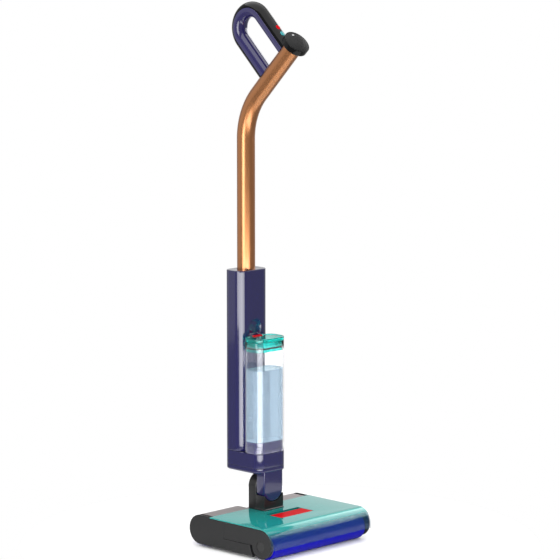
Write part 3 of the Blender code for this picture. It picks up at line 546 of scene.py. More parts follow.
def softened(node: str, name: str, finish: Finish, body: str, slot: str, width: float) -> bpy.types.Object:
    """Copy a node, merge it into whole faces and round its edges.

    Args:
        node: The model's node.
        name: The new piece's name.
        finish: Its finish.
        body: The body that it rides on.
        slot: The record's material slot; not used.
        width: The rounding in metres.

    Returns:
        The new piece, which stands for the node.
    """
    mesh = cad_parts[node].data.copy()
    mesh.name = name
    shape = bmesh.new()
    shape.from_mesh(mesh)
    bmesh.ops.remove_doubles(shape, verts=shape.verts, dist=1e-6)
    bmesh.ops.dissolve_limit(shape, angle_limit=math.radians(0.6), verts=shape.verts, edges=shape.edges)
    shape.to_mesh(mesh)
    shape.free()
    piece = stand(name, mesh)
    mesh.shade_smooth()
    mesh.set_sharp_from_angle(angle=CREASE)
    bevel = piece.modifiers.new("soft_edges", "BEVEL")
    bevel.width = width
    bevel.segments = 3
    bevel.limit_method = "ANGLE"
    bevel.angle_limit = CREASE
    bevel.harden_normals = True
    return dress(piece, finish, body, slot, (node,))


class Carve(Enum):
    """What a tool body does to a piece."""

    CUT = "DIFFERENCE"
    JOIN = "UNION"


def cut(piece: bpy.types.Object, cutter: Surface, name: str, carve: Carve = Carve.CUT) -> None:
    """Cut a surface's body out of a piece, or join it on, and drop the tool.

    Args:
        piece: The piece that changes.
        cutter: The tool's surface.
        name: The step's name.
        carve: Whether the tool cuts or joins.
    """
    tool = stand(name, cutter.mesh(name))
    modifier = piece.modifiers.new(name, "BOOLEAN")
    modifier.operation = carve.value
    modifier.object = tool
    evaluated = piece.evaluated_get(bpy.context.evaluated_depsgraph_get())
    result = bpy.data.meshes.new_from_object(evaluated)
    piece.modifiers.clear()
    piece.data = result
    result.set_sharp_from_angle(angle=CREASE)
    bpy.data.objects.remove(tool)


# ---------------------------------------------------------------- cleaning head


def notch(box: tuple[float, float, float, float], radius: float, heights: tuple[float, float], corner: int = 8,
          edge: float = 0.0002) -> Surface:
    """A tool that cuts straight down: a rectangle with round corners between two heights."""
    return Surface().plate(section(box, radius, 0, corner, 6), Axis.Z, *heights, edge)


@dataclass
class Head:
    """The cleaning head: side frames, deck, cover, trays and what stands between the rollers."""

    half: float = 0.150
    inner: float = 0.138
    arm: float = 0.146
    frame_lap: float = 0.0068
    under_cover: float = 0.0656
    deck: float = 0.0684
    underside: float = 0.006
    cover_rear: float = 0.060
    cover_arc: tuple[float, float] = (-0.091, 0.0345)
    cover_bore: float = 0.0311
    cover_top: float = 0.0685
    cover_sheet: float = 0.0026
    cover_lip: float = 0.026
    nose_arc: tuple[float, float] = (-0.0936, 0.0345)
    nose_radius: float = 0.0285
    cover_radius: float = 0.034
    rear_arc: tuple[float, float] = (0.0905, 0.0372)
    rear_radius: float = 0.0312
    strip_sheet: float = 0.002
    front_axis: tuple[float, float] = (-0.091, 0.0297)
    rear_axis: tuple[float, float] = (0.0885, 0.0297)
    motor_axis: tuple[float, float] = (0.028, 0.0192)
    motor_radius: float = 0.0108
    motor_long: float = 0.075
    motor_pitch: float = 0.005
    opening: float = 0.032
    seam_y: float = 0.018
    seam_z: float = 0.0297
    skin_edge: float = 0.0012
    notch_half: float = 0.0314

    def tail(self) -> Array:
        """The deck's rear end, from the step behind the cover round to the underside."""
        step = np.array([[self.cover_rear, self.under_cover], [self.cover_rear, self.deck]])
        return np.concatenate([step, arc(self.rear_arc, self.rear_radius, 90, -90, 40)])

    def mouth(self, axis: tuple[float, float], top: float) -> Array:
        """The frame's edge round a roller, from the underside up to an angle."""
        low = math.degrees(math.asin((self.underside - axis[1]) / self.opening))
        return arc(axis, self.opening, low, top, 24)

    def frames(self) -> None:
        """The two side frames, each a deep inner layer and a flush outer skin with rounded rims."""
        seam = math.degrees(math.asin((self.seam_z - self.front_axis[1]) / self.opening))
        start = np.array([[self.front_axis[0], self.under_cover]])
        corner = np.array([[self.seam_y, self.under_cover]])
        foot = np.array([[self.seam_y, self.seam_z]])
        self.side_frame("left", -1, np.concatenate([start, self.tail(), self.mouth(self.front_axis, 90)]),
                        np.concatenate([corner, self.tail(), self.mouth(self.front_axis, seam), foot]))
        nose = np.concatenate([arc(self.cover_arc, self.cover_bore, 90, 180, 20),
                               arc(self.nose_arc, self.nose_radius, 180, 270, 18)])
        mirror = np.array([2 * self.rear_axis[0], 0.0])
        flip = np.array([-1.0, 1.0])
        roof = np.array([[self.rear_axis[0], self.deck], [self.cover_rear, self.deck],
                         [self.cover_rear, self.under_cover]])
        ledge = np.array([[-self.seam_y, self.seam_z], [-self.seam_y, self.under_cover]])
        self.side_frame("right", 1, np.concatenate([nose, mirror + flip * self.mouth(self.rear_axis, 90), roof]),
                        np.concatenate([nose, mirror + flip * self.mouth(self.rear_axis, seam), ledge]))

    def side_frame(self, side: str, way: int, inner: Array, outer: Array) -> None:
        """Build one side frame from the outlines of its two layers, on the side that way points to."""
        deep = sorted((way * (self.inner + self.frame_lap), way * (self.arm - 0.0003)))
        skin = sorted((way * (self.arm - 0.001), way * self.half))
        both = Surface().plate(inner, Axis.X, *deep, 0.0002).plate(outer, Axis.X, *skin, self.skin_edge)
        both.piece(f"{side}_frame_skin", Palette.charcoal, "head", "charcoal_shell", (f"{side}_side_frame",))

    def shells(self) -> None:
        """The release button, head pan and trays, with softened edges."""
        softened("tray_release_button", "red_tray_release", Palette.red, "release", "red_moulding", 0.0006)
        softened("head_chassis", "black_head_pan", Palette.black, "head", "black_moulding", 0.0004)
        softened("debris_tray", "pale_debris_tray", Palette.tray, "head", "grey_moulding", 0.0004)
        softened("dirty_water_tank", "black_dirty_tank", Palette.black, "head", "black_moulding", 0.0004)

    def cover(self) -> None:
        """The clear cover: a sheet rolled over the front, with the button's well and the yoke's notch."""
        front, under = self.cover_arc[0] - self.cover_radius, self.cover_radius - self.cover_sheet
        outline = np.concatenate([[[self.cover_rear, self.cover_top]],
                                  arc(self.cover_arc, self.cover_radius, 90, 180, 56),
                                  [[front, self.cover_lip], [front + self.cover_sheet, self.cover_lip]],
                                  arc(self.cover_arc, under, 180, 90, 56),
                                  [[self.cover_rear, self.cover_top - self.cover_sheet]]])
        body = Surface().plate(outline, Axis.X, -self.half, self.half)
        made = body.piece("teal_cover", Palette.cover, "cover", "teal_clear", ("head_cover",))
        wall = notch((-0.0505, 0.0505, -0.0545, -0.0027), 0.0015, (0.057, 0.067), 4, 0.0003)
        cut(made, wall, "well_wall", Carve.JOIN)
        cut(made, notch((-0.0483, 0.0483, -0.0524, -0.0047), 0.0008, (0.059, 0.080), 4), "well")
        cut(made, notch((-self.notch_half, self.notch_half, 0.016, 0.080), 0.006, (0.050, 0.080)), "yoke_notch")

    def strip(self) -> None:
        """The grey deck that bends down over the rear roller, notched for the yoke."""
        outline = np.concatenate([[[self.cover_rear + 0.0002, self.deck]],
                                  arc(self.rear_arc, self.rear_radius, 90, -5, 64),
                                  arc(self.rear_arc, self.rear_radius - self.strip_sheet, -5, 90, 64),
                                  [[self.cover_rear + 0.0002, self.deck - self.strip_sheet]]])
        body = Surface().plate(outline, Axis.X, 0.0002 - self.inner, self.inner - 0.0002, 0.0005)
        made = body.piece("grey_deck_strip", Palette.grey, "head", "grey_moulding", ("rear_deck_strip",))
        cut(made, notch((-self.notch_half, self.notch_half, 0.040, 0.118), 0.006, (0.040, 0.080)), "strip_notch")

    def drives(self) -> None:
        """The motors' ribbed cans."""
        for side, low in (("front", 0.062), ("rear", -0.137)):
            high = low + self.motor_long
            station = np.linspace(low, high, 61)
            ribs = self.motor_radius - 0.0003 * (np.sin(station * FULL_TURN / self.motor_pitch) > 0.3)
            profile = np.concatenate([[[0.006, low]], np.column_stack([ribs, station]), [[0.006, high]]])
            Surface().turned(profile, Axis.X, self.motor_axis, 48).piece(
                f"{side}_motor_can", Palette.steel, "head", "steel_plain", (f"{side}_drive_motor",),
                math.radians(20))

    def build(self) -> None:
        """Build every fixed piece of the head."""
        self.frames()
        self.shells()
        self.cover()
        self.strip()
        self.drives()


@dataclass
class RollerCassette:
    """One roller: its end plate with a gripping disc, and its microfibre pile."""

    end: str
    axis: tuple[float, float]
    way: int
    head: Head
    pile_radius: float = 0.0296
    pile_half: float = 0.1369
    pile_bore: float = 0.0248
    rows: int = 420
    columns: int = 190
    tufts: int = 46
    winding: float = 1500.0
    disc: float = 0.0255
    grip: float = 0.0109
    stud_pitch: float = 0.0024
    seed: int = 7

    def outline(self) -> Array:
        """The key-shaped end plate: a roof that follows the head and a round foot about the axis."""
        head = self.head
        seam = -self.way * (head.seam_y - 0.0003)
        if self.way < 0:
            roof = [[seam, head.under_cover]]
            bend = arc(head.cover_arc, head.cover_bore, 90, 176, 24)
            foot = arc(self.axis, self.disc, 205, 360.7, 40)
        else:
            roof = [[seam, head.under_cover], [head.cover_rear, head.under_cover], [head.cover_rear, head.deck]]
            bend = arc(head.rear_arc, head.rear_radius, 90, 4, 24)
            foot = arc(self.axis, self.disc, -25, -180.7, 40)
        return np.concatenate([roof, bend, foot, [[seam, 0.0300]]])

    def spindle(self, onto: Surface, profile: list[list[float]]) -> Surface:
        """Add a profile of (radius, distance outward), turned about the roller's axis, to a surface."""
        return onto.turned(np.array(profile) * (1, self.way), Axis.X, self.axis, 72)

    def end_plate(self) -> None:
        """The end plate with its boss and spindle, and the seat for the gripping disc."""
        low, high = sorted((self.way * self.head.arm, self.way * self.head.half))
        boss = [[0.0, 0.119], [0.0053, 0.119], [0.0059, 0.1196], [0.0059, 0.1383], [0.0248, 0.1383],
                [0.0253, 0.1388], [0.0253, 0.147], [0.0, 0.147]]
        plate = self.spindle(Surface().plate(self.outline(), Axis.X, low, high, self.head.skin_edge), boss)
        made = plate.piece(f"{self.end}_cassette_plate", Palette.charcoal, f"{self.end}_cassette",
                           "charcoal_shell", (f"{self.end}_roller_end_plate",))
        bore = self.grip + 0.0003
        seat = [[0.0, 0.1478], [bore, 0.1478], [bore, 0.152], [0.0, 0.152]]
        cut(made, self.spindle(Surface(), seat), "grip_seat")

    def grip_disc(self) -> None:
        """The gripping disc: its face rises by a product of two crossed cosines, fading at the rim."""
        radius = np.linspace(0.00002, 1, 44)[:, None] * self.grip
        angle = np.linspace(0, FULL_TURN, 144, endpoint=False)
        a, b = radius * np.cos(angle), radius * np.sin(angle)
        pitch = FULL_TURN / self.stud_pitch
        studs = np.clip(np.cos(pitch * (a + b) * 0.707) * np.cos(pitch * (a - b) * 0.707), 0, 1)
        fade = np.clip((self.grip - radius) / 0.0012, 0, 1)
        face = 0.1492 + 0.0007 * studs * fade
        top = np.stack([self.axis[0] + a, self.axis[1] + b, self.way * face], axis=-1)
        base = top[-1:].copy()
        base[..., 2] = self.way * 0.1481
        Surface().grid(np.concatenate([top, base])[..., list(Axis.X.value)]).piece(
            f"{self.end}_grip_disc", Palette.rubber, f"{self.end}_cassette", "black_rubber",
            (f"{self.end}_roller_grip",), math.radians(60))

    def around(self, along: Array, radius: Array, angle: Array) -> Array:
        """Points at a radius and an angle about the roller's axis."""
        along, y, z = np.broadcast_arrays(along, self.axis[0] + radius * np.cos(angle),
                                          self.axis[1] + radius * np.sin(angle))
        return np.stack([along, y, z], axis=-1)

    def pile(self) -> None:
        """The pile: tufts in crossed spirals dimple the sleeve, and fine fibres stand out of it."""
        rng = np.random.default_rng(self.seed)
        along = np.linspace(-self.pile_half, self.pile_half, self.rows)[:, None]
        angle = np.linspace(0, FULL_TURN, self.columns, endpoint=False)[None, :]
        wind = along * self.winding
        spiral = np.sin(self.tufts * angle + wind) * np.sin(self.tufts * angle - wind)
        fuzz = rng.normal(0, 1, (self.rows, self.columns))
        radius = self.pile_radius - 0.0007 + 0.00028 * spiral + 0.00010 * np.clip(fuzz, -2, 2)
        edge = np.clip((self.pile_half - np.abs(along)) / 0.0016, 0, 1)
        radius = radius - 0.0016 * (1 - np.sqrt(1 - (1 - edge) ** 2 * 0.999))
        ends = np.array([[self.pile_half], [-self.pile_half]])
        skins = [self.around(along, radius, angle), self.around(ends, self.pile_bore, angle)]
        sleeve = Surface().grid(np.concatenate(skins), closed=True)
        self.fibres(sleeve, rng)
        sleeve.piece(f"{self.end}_microfibre_sleeve", Palette.pile, f"{self.end}_roller", "blue_pile",
                     (f"{self.end}_roller_pile",), math.radians(80))

    def fibres(self, sleeve: Surface, rng: np.random.Generator, count: int = 6500, thick: float = 0.00016) -> None:
        """Stand-out fibres: each is a three-sided spike from the sleeve, leaning a little round it."""
        place = rng.uniform(-0.135, 0.135, count)
        angle = rng.uniform(0, FULL_TURN, count)
        lean = rng.normal(0, 0.018, count)
        tip = self.pile_radius + rng.uniform(-0.0004, 0.00005, count)
        foot = self.pile_radius - 0.0012
        side = np.array([0, FULL_TURN / 3, 2 * FULL_TURN / 3])
        base = self.around(place[:, None] + thick * np.cos(side), foot,
                           angle[:, None] + thick / foot * np.sin(side))
        points = np.concatenate([base, self.around(place, tip, angle + lean)[:, None]], axis=1)
        corner = 4 * np.arange(count)[:, None]
        faces = np.concatenate([corner + f for f in ([0, 1, 3], [1, 2, 3], [2, 0, 3], [0, 2, 1])])
        sleeve.add(points, faces.tolist())

    def build(self) -> None:
        """Build the cassette's visible pieces."""
        self.end_plate()
        self.grip_disc()
        self.pile()


# ---------------------------------------------------------------- yoke and body


@dataclass
class Yoke:
    """The yoke that the upright leans back and steers on."""

    half: float = 0.0286
    roll_z: float = 0.1155
    foot: float = 0.0693
    seat: float = 0.031
    seat_edge: float = 0.0999
    barrel: tuple[float, float] = (0.055, 0.058)

    def build(self) -> None:
        """The rear arm, the cradle, the skirt and the pitch barrel, as overlapping rounded bodies."""
        sole = [[-self.half, self.foot], [self.half, self.foot]]
        arm = np.concatenate([sole, arc((0, self.roll_z), self.half, 0, 180, 48)])
        cradle = np.concatenate([sole, [[self.half, self.seat_edge]],
                                 arc((0, self.roll_z), self.seat, -30.2, -149.8, 32),
                                 [[-self.half, self.seat_edge]]])
        web = np.array([[0.030, 0.0703], [0.0463, 0.057], [0.0637, 0.057], [0.066, 0.0703]])
        skirt = section((-0.0308, 0.0308, 0.0164, 0.050), 0.005, 0, 6, 4)
        flare = [[0.0, 0.0691], [0.0, 0.0697], [0.0007, 0.0704], [0.0018, 0.0712], [0.0022, 0.0722]]
        rings = [level(inward(skirt, inset), z) for inset, z in flare]
        barrel = np.array([[0.0, -0.0286], [0.0082, -0.0286], [0.009, -0.0278], [0.009, 0.0278],
                           [0.0082, 0.0286], [0.0, 0.0286]])
        body = Surface().plate(arm, Axis.Y, 0.0436, 0.067, 0.0022).plate(cradle, Axis.Y, 0.0184, 0.0446, 0.0005)
        body.plate(web, Axis.X, 0.001 - self.half, self.half - 0.001, 0.0005)
        body.grid(np.array(rings)).turned(barrel, Axis.X, self.barrel, 48)
        body.piece("black_yoke", Palette.black, "yoke", "black_moulding", ("yoke",))


@dataclass
class Upright:
    """The upright's lower body: neck, base ring and the housing with its thumb scoop."""

    box: tuple[float, float, float, float] = (-0.043, 0.043, 0.019, 0.128)
    housing: tuple[float, float, float, float] = (-0.043, 0.043, 0.0737, 0.128)
    radius: float = 0.020
    wall: float = 0.0025
    pole_y: float = 0.1007
    pole_hole: float = 0.0197
    top: float = 0.577
    scoop_half: float = 0.0172
    scoop_low: float = 0.4362
    scoop_high: float = 0.4732
    scoop_depth: float = 0.0078
    scoop_edge: float = 0.0075

    def rings(self, box: tuple[float, float, float, float], path: Array) -> Array:
        """Stack a rounded section along a path of (inset, height)."""
        return np.array([level(section(box, self.radius, inset), z) for inset, z in path])

    def neck(self) -> None:
        """The dished lower base with a soft lower rim, and the tongue in front."""
        path = fillet([(0.012, 0.148, 0), (0.0, 0.148, 0.0042), (0.0, 0.1586, 0.0004), (0.0025, 0.1586, 0.0004),
                       (0.0025, 0.151, 0.001), (0.012, 0.151, 0)])
        tongue = np.concatenate([[[0.0285, 0.1525], [-0.0285, 0.1525]], arc((0, 0.1155), 0.030, 198.2, 341.8, 48)])
        body = Surface().grid(self.rings(self.box, path)).plate(tongue, Axis.Y, 0.019, 0.0432, 0.0038)
        body.piece("purple_neck", Palette.purple, "upright", "purple_gloss", ("neck",))

    def base_ring(self) -> None:
        """The ring below the tank and the housing, with the pump's opening in its deck."""
        outer = fillet([(0.0025, 0.1591, 0), (0.0, 0.1591, 0.0006), (0.0, 0.1896, 0.0006), (0.004, 0.1896, 0)])
        hole = section((-0.030, 0.030, 0.084, 0.119), 0.006)
        rings = [*self.rings(self.box, outer), level(hole, 0.1896), level(hole, 0.1866),
                 *self.rings(self.box, np.array([[0.0025, 0.1866], [0.0025, 0.1592]]))]
        Surface().grid(np.array(rings), closed=True).piece(
            "purple_base_ring", Palette.purple, "upright", "purple_gloss", ("base_ring",))

    def dent(self, points: Array) -> Array:
        """Push the front wall in under the thumb.

        The depth is a smooth step of the distance inside an arch, and grows from the arch's top down.
        """
        x, y, z = points[..., 0], points[..., 1], points[..., 2]
        crown = self.scoop_high - self.scoop_half
        reach = np.where(z > crown, self.scoop_half - np.hypot(x, z - crown), self.scoop_half - np.abs(x))
        reach = np.minimum(reach, (z - self.scoop_low) * 1.6)
        step = np.clip(reach / self.scoop_edge, 0, 1)
        fall = 0.45 + 0.55 * np.clip((self.scoop_high - z) / 0.030, 0, 1)
        depth = self.scoop_depth * fall * (1 - (1 - step) ** 2.2) * (y < self.housing[2] + 0.004)
        return points + np.stack([0 * depth, depth, 0 * depth], axis=-1)

    def column(self) -> None:
        """The housing: an outer wall with the scoop, a soft top rim, the pole's hole and the inner wall."""
        heights = np.concatenate([np.linspace(0.1907, 0.430, 24), np.linspace(0.4345, 0.4765, 46),
                                  np.linspace(0.482, 0.5735, 10)])
        wall = np.column_stack([np.zeros(len(heights)), heights])
        rim = fillet([(0.0, 0.574, 0), (0.0, self.top, 0.0016), (0.004, self.top, 0)])
        outer = self.rings(self.housing, np.concatenate([[[0.0006, 0.1902], [0.0001, 0.1904]], wall, rim]))
        edge = section(self.housing, self.radius, 0.004)
        bearing = np.arctan2(edge[:, 1] - self.pole_y, edge[:, 0])
        hole = np.array([0.0, self.pole_y]) + self.pole_hole * np.column_stack([np.cos(bearing), np.sin(bearing)])
        lip = [level(edge * 0.12 + hole * 0.88, self.top), level(hole, self.top - 0.0004),
               level(hole, self.top - 0.003)]
        inner = self.rings(self.housing, np.column_stack([np.full(len(heights), self.wall), heights[::-1]]))
        Surface().grid(self.dent(np.concatenate([outer, lip, inner])), closed=True).piece(
            "purple_housing", Palette.purple, "upright", "purple_gloss", ("housing_shell",))

    def build(self) -> None:
        """Build the lower body."""
        self.neck()
        self.base_ring()
        self.column()


@dataclass
class CleanTank:
    """The clear tank with its purple foot, its water, its lid and the latch."""

    upright: Upright
    box: tuple[float, float, float, float] = (-0.043, 0.043, 0.019, 0.0732)
    wall: float = 0.0022
    low: float = 0.190
    high: float = 0.4287
    foot_top: float = 0.214
    water_top: float = 0.368
    latch_half: float = 0.013
    latch_centre: tuple[float, float] = (0.0676, 0.4361)

    def stack(self, path: Array, closed: bool = False) -> Surface:
        """The tank's section, stacked along a path of (inset, height)."""
        return Surface().grid(self.upright.rings(self.box, path), closed)

    def shell(self) -> None:
        """The clear wall, open above and below, with rounded rims."""
        levels = np.linspace(self.low + 0.002, self.high - 0.001, 14)
        outer = [(0.0, z) for z in levels]
        inner = [(self.wall, z) for z in levels[::-1]]
        rim = [(0.0004, self.high - 0.0002), (0.0011, self.high), (0.0018, self.high - 0.0002)]
        foot = [(self.wall - 0.0004, self.low + 0.0006), (0.0004, self.low + 0.0006)]
        body = self.stack(np.array(outer + rim + inner + foot), closed=True)
        body.piece("clear_tank_wall", Palette.tank, "tank", "tank_clear", ("tank_shell",))

    def foot(self) -> None:
        """The purple foot inside the wall: a cap with a soft upper rim, hollow below."""
        inset = self.wall + 0.0003
        path = fillet([(0.020, self.foot_top - 0.004, 0), (inset + 0.003, self.foot_top - 0.004, 0.0005),
                       (inset + 0.003, self.low + 0.0003, 0.0003), (inset, self.low + 0.0003, 0.0003),
                       (inset, self.foot_top, 0.0016), (0.020, self.foot_top, 0)])
        self.stack(path).piece("purple_tank_foot", Palette.purple, "tank", "purple_gloss", ("tank_base",))

    def water(self) -> None:
        """The water, which climbs the wall a little at its rim."""
        inset = self.wall + 0.0001
        path = fillet([(0.019, self.foot_top + 0.0004, 0), (inset, self.foot_top + 0.0004, 0.0016),
                       (inset, self.water_top + 0.0009, 0.0001), (inset + 0.0016, self.water_top, 0.0008),
                       (0.019, self.water_top, 0)])
        self.stack(path).piece("clean_water", Palette.water, "tank", "tank_clear")

    def lid(self) -> None:
        """The lid: a rimmed cap, a plug with a seal groove, hollow from below, with the latch's seat."""
        plug, hollow = self.wall + 0.0004, self.wall + 0.0026
        path = fillet([(0.0195, 0.434, 0), (hollow, 0.434, 0.002), (hollow, 0.408, 0.0006), (plug, 0.408, 0.0006),
                       (plug, 0.4138, 0.0002), (plug + 0.0012, 0.4138, 0.0001), (plug + 0.0012, 0.4172, 0.0001),
                       (plug, 0.4172, 0.0002), (plug, 0.4291, 0.0002), (0.0, 0.4291, 0.0008),
                       (0.0, 0.437, 0.0016), (0.0036, 0.437, 0.0008), (0.0048, 0.4358, 0.0008), (0.0195, 0.4358, 0)])
        made = self.stack(path).piece("teal_tank_lid", Palette.lid, "lid", "teal_clear", ("tank_lid",))
        seat = section((-0.0133, 0.0133, 0.062, 0.080), 0.001, 0, 3, 2)
        cut(made, Surface().plate(seat, Axis.Z, 0.4312, 0.445, 0.0002), "latch_seat")

    def latch(self) -> None:
        """The red latch: a bar of squared-off oval section that tapers at its ends, with a ribbed top."""
        x = np.linspace(-self.latch_half, self.latch_half, 53)
        y, z = squircle(0.0050, 0.0018, 0.45, 40)
        ends = (1 - np.abs(x / (self.latch_half + 0.00001)) ** 8) ** 0.25
        ribs = 0.00018 * np.sin(x * FULL_TURN / 0.0024)[:, None] * (z[None, :] > 0)
        rings = np.stack([np.broadcast_to(x[:, None], ribs.shape), self.latch_centre[0] + ends[:, None] * y,
                          self.latch_centre[1] + ends[:, None] * z + ribs - 0.0001], axis=-1)
        Surface().grid(rings).piece("red_tank_latch", Palette.red, "latch", "red_moulding", ("tank_latch",))

    def build(self) -> None:
        """Build the tank's visible pieces."""
        self.shell()
        self.foot()
        self.water()
        self.lid()
        self.latch()


# ---------------------------------------------------------------- pole, handle, display


@dataclass
class Pole:
    """The bent copper pole, with the frame of its leaning end."""

    radius: float = 0.0193
    wall: float = 0.0016
    y: float = 0.1007
    foot: float = 0.520
    corner_z: float = 0.910
    lean: float = math.radians(44.5)
    bend: float = 0.137
    end: float = 0.200

    def local(self, up: Array, back: Array, side: Array) -> Array:
        """Turn (along the lean, behind it, sideways) into x, y, z from the corner of the centre line."""
        sin, cos = math.sin(self.lean), math.cos(self.lean)
        up, back, side = np.broadcast_arrays(up, back, side)
        return np.stack([side, self.y - up * sin + back * cos, self.corner_z + up * cos + back * sin], axis=-1)

    def centre_line(self) -> tuple[Array, Array]:
        """Points (y, z) of the centre line and the tilt of its section at each."""
        tangent = self.bend * math.tan(self.lean / 2)
        middle = (self.y - self.bend, self.corner_z - tangent)
        bend = arc(middle, self.bend, 0, math.degrees(self.lean), 40)
        tilt = np.linspace(0, self.lean, len(bend))
        straight = np.linspace(self.foot, middle[1], 12)[:-1]
        low = np.column_stack([np.full(len(straight), self.y), straight])
        reach = np.linspace(tangent, self.end, 10)[1:]
        high = np.column_stack([self.y - reach * math.sin(self.lean), self.corner_z + reach * math.cos(self.lean)])
        tilts = np.concatenate([0 * straight, tilt, np.full(len(reach), self.lean)])
        return np.concatenate([low, bend, high]), tilts

    def tube(self) -> None:
        """Carry two circles along the centre line, one for each face of the wall."""
        line, tilt = self.centre_line()
        angle = np.linspace(0, FULL_TURN, 96, endpoint=False)
        skins = []
        for radius in (self.radius, self.radius - self.wall):
            x = radius * np.cos(angle)[None, :] + 0 * tilt[:, None]
            across = radius * np.sin(angle)[None, :]
            y = line[:, :1] + across * np.cos(tilt)[:, None]
            z = line[:, 1:] + across * np.sin(tilt)[:, None]
            skins.append(np.stack([x, y, z], axis=-1))
        Surface().grid(np.concatenate([skins[0], skins[1][::-1]]), closed=True).piece(
            "copper_pole", Palette.copper, "upright", "copper_tube", ("pole",))


@dataclass
class LoopHandle:
    """The D-shaped hand loop: a violet channel closed by a black strip that holds two buttons."""

    pole: Pole
    lower: float = 0.102
    upper: float = 0.180
    reach: float = 0.109
    tube: float = 0.0165
    wall: float = 0.0028
    cover_angle: float = 75.0

    def path(self) -> tuple[Array, Array, Array]:
        """The loop's centre line in the lean's frame, with its outward way at each point."""
        bend = (self.upper - self.lower) / 2
        middle = (self.upper + self.lower) / 2
        run = np.linspace(0.012, self.reach, 24)[:-1]
        turn = np.linspace(-np.pi / 2, np.pi / 2, 49)
        arm = np.ones(len(run))
        up = np.concatenate([self.lower * arm, middle + bend * np.sin(turn), self.upper * arm])
        back = np.concatenate([run, self.reach + bend * np.cos(turn), run[::-1]])
        out = np.concatenate([turn[0] * arm, turn, turn[-1] * arm])
        return up, back, out

    def sweep(self, start: float, end: float, steps: int, outer_lip: float = 0.0006,
              inner_lip: float = 0.0004) -> Surface:
        """Carry a slice of the tube's wall, with rounded lips, along the loop.

        Args:
            start: The slice's first angle from outward, in degrees.
            end: Its last angle.
            steps: Spans round the slice.
            outer_lip: The rounding of the slice's outer edges.
            inner_lip: The rounding of its inner edges.

        Returns:
            The slice's surface.
        """
        up, back, out = self.path()
        lip = math.degrees(outer_lip / self.tube)
        angle = np.radians(np.linspace(start + lip, end - lip, steps + 1))
        first, last = math.radians(start), math.radians(end)
        angles = np.concatenate([[first], angle, [last], [last], angle[::-1], [first]])
        outer, inner = self.tube, self.tube - self.wall
        radii = np.repeat([outer - outer_lip, outer, outer - outer_lip, inner + inner_lip, inner, inner + inner_lip],
                          [1, steps + 1, 1, 1, steps + 1, 1])
        away, side = radii * np.cos(angles), radii * np.sin(angles)
        ring_up = up[:, None] + away[None, :] * np.sin(out)[:, None]
        ring_back = back[:, None] + away[None, :] * np.cos(out)[:, None]
        return Surface().grid(self.pole.local(ring_up, ring_back, side[None, :]))

    def saddle(self) -> Surface:
        """The pole's round, a little enlarged, that the arms' ends are cut to."""
        angle = np.linspace(0, FULL_TURN, 96, endpoint=False)
        radius = self.pole.radius + 0.0003
        ends = np.array([[0.02], [0.26]])
        return Surface().grid(self.pole.local(ends, radius * np.cos(angle)[None, :], radius * np.sin(angle)[None, :]))

    def oval(self, back: float, half_back: float, half_side: float, stations: Array) -> Surface:
        """An oval bar through the strip: (cos, sin) stretched, with (inset, height) stations."""
        angle = np.linspace(0, FULL_TURN, 64, endpoint=False)
        inset, height = stations[:, :1], stations[:, 1:]
        return Surface().grid(self.pole.local(height, back + (half_back - inset) * np.sin(angle),
                                              (half_side - inset) * np.cos(angle)))

    def build(self) -> None:
        """Build the channel, the strip and the two buttons."""
        grip = self.sweep(self.cover_angle + 1.0, 359 - self.cover_angle, 60).piece(
            "violet_loop_grip", Palette.violet, "upright", "violet_gloss", ("loop_grip",))
        cut(grip, self.saddle(), "pole_saddle")
        strip = self.sweep(-self.cover_angle, self.cover_angle, 44).piece(
            "black_loop_strip", Palette.gloss_black, "upright", "black_gloss", ("loop_cover",))
        cut(strip, self.saddle(), "pole_saddle")
        through = np.array([[0.0, 0.185], [0.0, 0.205]])
        crown = self.upper + self.tube
        path = fillet([(0.004, 0.1912, 0), (0.0, 0.1912, 0.0004), (0.0, crown + 0.0004, 0.0012),
                       (0.0045, crown - 0.0001, 0)])
        for name, back, finish, slot in (("power", 0.059, Palette.red, "red_moulding"),
                                         ("mode", 0.0415, Palette.teal, "teal_gloss")):
            cut(strip, self.oval(back, 0.0064, 0.0053, through), "button_hole")
            self.oval(back, 0.0060, 0.0049, path).piece(f"{name}_button_cap", finish, f"{name}_button", slot,
                                                        (f"{name}_button",))


